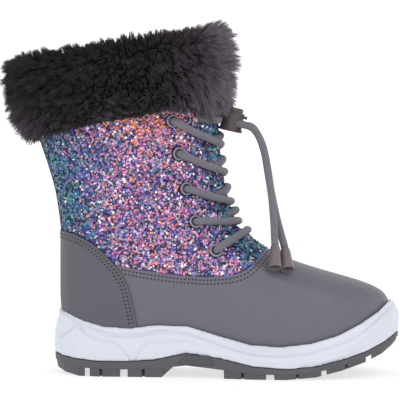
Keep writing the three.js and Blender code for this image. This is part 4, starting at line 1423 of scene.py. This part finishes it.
lock_body = turned("lock_barrel", LOCK_STEPS, LOCK_SIDES)
cut_or_join(lock_body, box_piece("lock_tab", TAB_SIZE, TAB_PLACE), "UNION")
put_down()
bpy.ops.mesh.primitive_cylinder_add(vertices=36, radius=1, depth=30 * MM)
bore = name_it(bpy.context.object, "bore_tool")
oval = Matrix.Diagonal((BORE_HALF[0] * MM, BORE_HALF[1] * MM, 1, 1))
lie = Matrix((
    (0, BORE_SIDE.x, BORE_AXIS.x, 0),
    (0, BORE_SIDE.y, BORE_AXIS.y, 0),
    (1, 0, 0, BORE_HEIGHT),
    (0, 0, 0, 1),
))
place_in_mesh(bore, lie @ oval)
cut_or_join(lock_body, bore, "DIFFERENCE")
soften(lock_body, 0.22, 40)
place_in_mesh(lock_body, LOCK_PLACE)
finish_piece(lock_body, LOCK_FINISH, ["cord_lock_body"], angle=40)
lock_button = place_in_mesh(turned("lock_button_cap", BUTTON_STEPS, LOCK_SIDES), LOCK_PLACE)
finish_piece(lock_button, LOCK_FINISH, ["cord_lock_button"], "lock_button", angle=40)

# %% [markdown]
# The midsole is one white moulding. Its side is not plain: a groove runs the whole length below
# the top edge, dipping over the arch, and moulded facets meet in soft creases at the heel and
# the waist. Every crease is given as a line seen from the side, in the boot's own
# millimetres, and pressed into a fine copy of the solid on both sides.

# %% Midsole
MIDSOLE_CREASES = [  # depth, half width, stops
    (1.15, 0.7, [
        (-105, 41), (-96, 36.2), (-88.4, 32.8), (-78.3, 28.9), (-67.5, 25.9), (-58.3, 25.1), (-49.1, 25.9),
        (-39.8, 27.8), (-29.1, 28.1), (-19.8, 27), (-10.5, 24.3), (-0.7, 21.2), (13, 17.3), (24, 15.4),
        (36.5, 15), (49, 15.8), (61, 18.4), (72, 21.5), (83.5, 26.5), (95, 35.7), (103, 43),
    ]),
    (1.05, 0.75, [
        (-101, 22), (-96, 25.5), (-91, 30), (-89, 31.2), (-86.5, 30), (-81.4, 25.5), (-75.3, 23.1),
        (-66.1, 21.4), (-60.6, 17.4), (-56, 12.1), (-54.6, 9),
    ]),
    (1.0, 0.75, [
        (-51.8, 10), (-50.6, 13.6), (-47.6, 18.1), (-42.1, 21.3), (-32.9, 21.9), (-23.6, 22.4), (-14, 20.4),
    ]),
    (0.5, 1.1, [
        (-38, 13.4), (-34.5, 16.8), (-29, 19.4), (-21.3, 20.5), (-13.6, 21.3), (-7, 20.6), (-0.7, 18.9),
    ]),
    (0.6, 0.9, [(14, 11.6), (30, 9.2), (48, 8.6), (62, 9.6), (76, 13.5), (88, 19.3), (97, 27), (102, 33)]),
    (0.7, 0.85, [(79, 17.5), (88, 24.3), (95, 31), (101.5, 38)]),
]
RAISED_LIP = 0.16  # how high the material stands beside a crease, as a share of its depth
LIP_AWAY = 2.1  # how far beside it, in half widths


def distance_to_line(points, stops):
    """How far places seen from the side are from a line through some stops."""
    best = np.full(len(points), 1e9)
    for start, end in zip(stops[:-1], stops[1:]):
        way = end - start
        share = np.clip(((points - start) @ way) / (way @ way), 0, 1)
        best = np.minimum(best, np.linalg.norm(points - start - share[:, None] * way, axis=1))
    return best


def rounded_line(stops):
    """A flat line through side-view stops, rounded like a lace's route."""
    line = smooth_route([(x, 0, z) for x, z in stops], 1.5)
    return line[:, [0, 2]]


def press_creases(piece, creases, ease=0.25):
    """Press soft troughs into the sides of a piece; faces that look up or down stay flat."""
    places = boot_mm(points_of(piece))
    normals = vertex_normals(piece)
    sideways = np.abs(normals[:, 1]) + np.clip(np.abs(normals[:, 0]) - 0.6, 0, 1)
    facing = ramp(sideways, ease, 0.3)
    depth = np.zeros(len(places))
    for deep, half, stops in creases:
        away = distance_to_line(places[:, [0, 2]], rounded_line(stops))
        depth = np.maximum(depth, deep * np.exp(-((away / half) ** 2)))
        depth -= RAISED_LIP * deep * np.exp(-(((away - LIP_AWAY * half) / half) ** 2))
    set_points(piece, points_of(piece) - normals * (depth * facing * MM)[:, None])


midsole = refine(copy_node("midsole", "midsole_moulding"), 1.0 * MM, 5)
press_creases(midsole, MIDSOLE_CREASES)
MIDSOLE_FINISH = finish(
    "white_moulding", card(207, 211, 222), roughness=0.42, grain=1600, patches=14, variation=0.012,
    bump=0.06, depth=0.0001, swing=0.04, Coat_Weight=0.06,
)
finish_piece(midsole, MIDSOLE_FINISH, ["midsole"])

# %% [markdown]
# The tread is cut from the same solid as the frame's, with its edges eased, so that the lugs
# catch a thin line of light. A shallow block on each side of the waist is the only trim it has.

# %% Outsole and insole
RUBBER_FINISH = finish(
    "tread_rubber", card(80, 79, 84), roughness=0.6, grain=1500, patches=50, variation=0.1,
    bump=0.35, depth=0.0002, swing=0.08,
)
outsole = copy_node("outsole", "tread")
soften(outsole, 0.3, 35)
finish_piece(outsole, RUBBER_FINISH, ["outsole"], angle=35)

BLOCK_FINISH = finish(
    "block_rubber", card(70, 70, 74), roughness=0.55, grain=1500, patches=50, variation=0.08,
    bump=0.3, depth=0.0002,
)
BLOCK_SIZE = (18.7, 3.0, 5.7)
BLOCK_SLANTS = (2.0, 2.1)  # of its rear and front ends, in millimetres from the middle height
BLOCK_SPAN = (-21, -8)  # where the rubber's side is felt for its direction
BLOCK_HEIGHT = 11


def waist_block(name, side):
    """A shallow block with slanting ends on one side of the waist, let into the rubber."""
    block = box_piece(name, BLOCK_SIZE, (0, 0, 0))
    points = points_of(block)
    rear, front = BLOCK_SLANTS
    inwards = np.where(points[:, 0] > 0, -front, rear)
    points[:, 0] += np.where(points[:, 2] > 0, inwards, -inwards) * MM
    set_points(block, points)
    tree = tree_of(outsole)
    spots = [
        tree.ray_cast(at(x, side * 90, BLOCK_HEIGHT), Vector((0, -side, 0)))[0] for x in BLOCK_SPAN
    ]
    middle = (spots[0] + spots[1]) / 2
    slant = math.atan2(spots[1].y - spots[0].y, spots[1].x - spots[0].x)
    seat = Matrix.Translation(middle + at(0.2, -side * 0.6, 0.05) - ZERO)
    place_in_mesh(block, seat @ Matrix.Rotation(slant, 4, "Z"))
    soften(block, 0.45, 40, segments=3)
    return finish_piece(block, BLOCK_FINISH, angle=40)


for name, side in (("waist_block_outer", -1), ("waist_block_inner", 1)):
    waist_block(name, side)
insole = refine(copy_node("insole", "footbed"), 1.5 * MM, 4)
finish_piece(insole, LINING_FINISH, ["insole"])

# %% [markdown]
# The cuff is long faux fur. Its frame solid has the outer shape of the pile. A dark core fills
# the inner part of it, and strands stand from the core out to that shape. The core's near-black
# colour is painted shade deep in the pile. One strand is a narrow tapered ribbon of three lengths.

# %% Fur strand and core
CORE_SHARE = 0.42  # of the way from the shaft to the cuff's shape, where the core lies


def strand_master():
    """A tapered ribbon, one unit long up its Z axis and one unit wide at the root."""
    put_down()
    bpy.ops.mesh.primitive_grid_add(x_subdivisions=1, y_subdivisions=3, size=1)
    ribbon = name_it(bpy.context.object, "strand_master")
    place_in_mesh(ribbon, Matrix.Rotation(math.pi / 2, 4, "X"))
    place_in_mesh(ribbon, Matrix.Translation((0, 0, 0.5)))
    bpy.ops.object.mode_set(mode="EDIT")
    bpy.ops.mesh.select_mode(type="VERT")
    for height, width in ((1 / 3, 0.85), (2 / 3, 0.6)):
        bpy.ops.mesh.select_all(action="DESELECT")
        bpy.ops.object.mode_set(mode="OBJECT")
        for vertex in ribbon.data.vertices:
            vertex.select = abs(vertex.co.z - height) < 0.01
        bpy.ops.object.mode_set(mode="EDIT")
        bpy.ops.transform.resize(value=(width, 1, 1), center_override=(0, 0, height))
    bpy.ops.mesh.select_all(action="DESELECT")
    bpy.ops.object.mode_set(mode="OBJECT")
    for vertex in ribbon.data.vertices:
        vertex.select = vertex.co.z > 0.99
    bpy.ops.object.mode_set(mode="EDIT")
    bpy.ops.mesh.merge(type="CENTER")
    bpy.ops.object.mode_set(mode="OBJECT")
    return ribbon


def fur_core(cuff):
    """The cuff drawn in a part of the way towards the shaft inside it."""
    core = duplicate(cuff, "fur_core")
    points = points_of(core)
    drawn = []
    for point in points:
        where, _, _, _ = skin_tree.find_nearest(Vector(point))
        drawn.append(Vector(where).lerp(Vector(point), CORE_SHARE))
    set_points(core, np.array(drawn))
    return core


cuff = copy_node("fur_cuff", "cuff_shape")
apply(cuff, "SUBSURF", levels=2, render_levels=2, subdivision_type="SIMPLE")
apply(cuff, "SMOOTH", factor=0.5, iterations=6)
core = fur_core(cuff)
low_corner, high_corner = (boot_mm(corner) for corner in np.array(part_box("fur_cuff")))
print("cuff", len(cuff.data.polygons), "faces from", low_corner.round(1), "to", high_corner.round(1))

FUR_TOP = soft_line([(-145, 200), (-125, 203), (-80, 210), (-30, 216), (12, 217)], 3)
FUR_FOOT = soft_line([(-145, 148), (-125, 149), (-80, 157), (-30, 165), (12, 170)], 3)


def fur_rise(place):
    """How high places stand in the cuff, from 0 at its foot to 1 at its top."""
    foot = FUR_FOOT(place[:, 0])
    return (place[:, 2] - foot) / (FUR_TOP(place[:, 0]) - foot)


centres, _ = face_values(cuff)
to_skin = np.array([(skin_tree.find_nearest(Vector(centre))[3] or 0) for centre in centres]) / MM
hairy = (to_skin > 3.0) | (fur_rise(boot_mm(centres)) > 0.9)
print(int(hairy.sum()), "faces of the cuff carry fur")

# %% [markdown]
# The strands lean together in clumps, as brushed fur does. Every clump has its own middle, lean,
# length and shade, and all three pieces of the pile share the same clumps.

# %% Fur clumps
FUR_CLUMPS = 1700
clump_spots = scatter(cuff, hairy, FUR_CLUMPS, 77)[0]
clump_tree = KDTree(FUR_CLUMPS)
for index, spot in enumerate(clump_spots):
    clump_tree.insert(Vector(spot), index)
clump_tree.balance()
clump_random = np.random.default_rng(78)
clump_way = unit(clump_random.normal(0, 1, (FUR_CLUMPS, 3)))
clump_lean = clump_way * clump_random.uniform(0.5, 2.6, (FUR_CLUMPS, 1)) * MM
clump_reach = clump_random.normal(0.6, 1.1, (FUR_CLUMPS, 1)) * MM
clump_shade = clump_random.normal(1.0, 0.11, FUR_CLUMPS)
print(FUR_CLUMPS, "clumps")

# %% [markdown]
# Each strand keeps a part of its own place and goes a part of the way to its clump's tip.
# Towards the lower edge the strands hang down over the glitter, further at the front and less
# in the middle of the side, and at the top they stand up. The fur is paler at the front and at
# the low edge of the back.

# %% Fur strands
FUR_STRANDS = 51000
FUR_PIECES = 3
FUR_HANG = ([0, 0.12, 0.35, 0.7, 0.92, 1.0], [-4.4, -4.2, -3.4, -2.2, 0.2, 1.6])  # rise, mm upwards
FUR_FRINGE = (  # place along the boot, millimetres upwards at the foot
    [-118, -105, -93, -68, -50, -35, -18, -8, 5], [0, 1.8, 1.9, 6, 6.4, 4.4, 0.6, -6, -6.5],
)
FUR_COLOUR = card(66, 60, 67)[:3]
CLUMP_PULL = 0.672  # how far a tip may go towards its clump's tip
FLYAWAY_SHARE = 0.03
RIBBON_DEPTH = 0.0001  # a strand is flat, so its third axis is left tiny
FUR_SAG = 0.10  # of a strand's length
ROOT_SHADE = 0.38  # the root's light as a share of the tip's


def strand_light(place, rise):
    """How much lighter or darker than the fur's own colour it is at some places."""
    front = ramp(place[:, 0], -45, 60)
    back = ramp(-place[:, 0], 95, 40)
    low = ramp(-rise, -0.42, 0.4)
    return 0.78 + 3.0 * front + 1.2 * back * low + 0.6 * low + 0.25 * ramp(rise, 0.75, 0.25)


def strands_on(count, seed):
    """Roots, tips, directions and colours for strands spread over the cuff."""
    generator = np.random.default_rng(seed)
    tips, normals, corners, weights = scatter(cuff, hairy, count, seed)
    roots = np.einsum("ij,ijk->ik", weights, points_of(core)[corners])
    clump = np.array([clump_tree.find(Vector(tip))[1] for tip in tips])
    place = boot_mm(tips)
    rise = fur_rise(place)
    hang = np.interp(rise, *FUR_HANG) * MM
    hang += np.interp(place[:, 0], *FUR_FRINGE) * MM * ramp(-rise, -0.5, 0.4)
    ends = tips + normals * clump_reach[clump] + clump_lean[clump]
    pull = CLUMP_PULL * generator.beta(2, 2, (count, 1))
    ends = ends + (clump_spots[clump] - tips) * pull
    ends[:, 2] += hang * generator.uniform(0.7, 1.25, count)
    ends += generator.normal(0, 0.45 * MM, (count, 3))
    flyaway = generator.random(count) < FLYAWAY_SHARE
    away = unit(ends[flyaway] - roots[flyaway])
    ends[flyaway] += away * generator.uniform(0.5, 2.0, (flyaway.sum(), 1)) * MM
    light = strand_light(place, rise)
    light *= clump_shade[clump] * generator.uniform(0.82, 1.2, count)
    return roots, ends, normals, np.array(FUR_COLOUR)[None, :] * light[:, None]


def sow_fur(name, count, seed, width=0.55):
    """One piece of fur, its strands shaded from dark roots to light tips."""
    generator = np.random.default_rng(seed + 5)
    roots, ends, normals, colours = strands_on(count, seed)
    way = ends - roots
    length = np.linalg.norm(way, axis=1, keepdims=True)
    across = unit(np.cross(way, normals) + generator.normal(0, 0.35, way.shape) * length)
    across = unit(across - unit(way) * (across * unit(way)).sum(1, keepdims=True))
    sag = np.array([0, 0, -1.0])[None, :] * FUR_SAG * length
    master = strand_master()
    wide = generator.uniform(0.7, 1.2, (count, 1)) * width * MM
    piece = sow(name, master, roots, across * wide, normals * RIBBON_DEPTH, way - sag, sag)
    shade = ROOT_SHADE + (1 - ROOT_SHADE) * points_of(master)[:, 2]
    paint(piece, colours[:, None, :] * shade[None, :, None], "fur_colour")
    discard(master)
    return piece


FUR_FINISH = painted_finish(
    "faux_fur", "fur_colour", Roughness=0.6, Specular_IOR_Level=0.25, Sheen_Weight=0.12,
)
# The core's near-black colour is painted shade deep inside the pile.
CORE_SHADE_FINISH = finish(
    "fur_core_shade", card(26, 24, 27), roughness=0.95, grain=900, patches=60, variation=0.3, bump=0.8,
    depth=0.001,
)
for number in range(FUR_PIECES):
    pile = sow_fur(f"fur_pile_{number + 1}", FUR_STRANDS // FUR_PIECES, 300 + number)
    finish_piece(pile, FUR_FINISH, ["fur_cuff"])
finish_piece(core, CORE_SHADE_FINISH, ["fur_cuff"])
discard(cuff)

# %% [markdown]
# The skin was only a pattern, so it goes.

# %% The end
discard(skin)
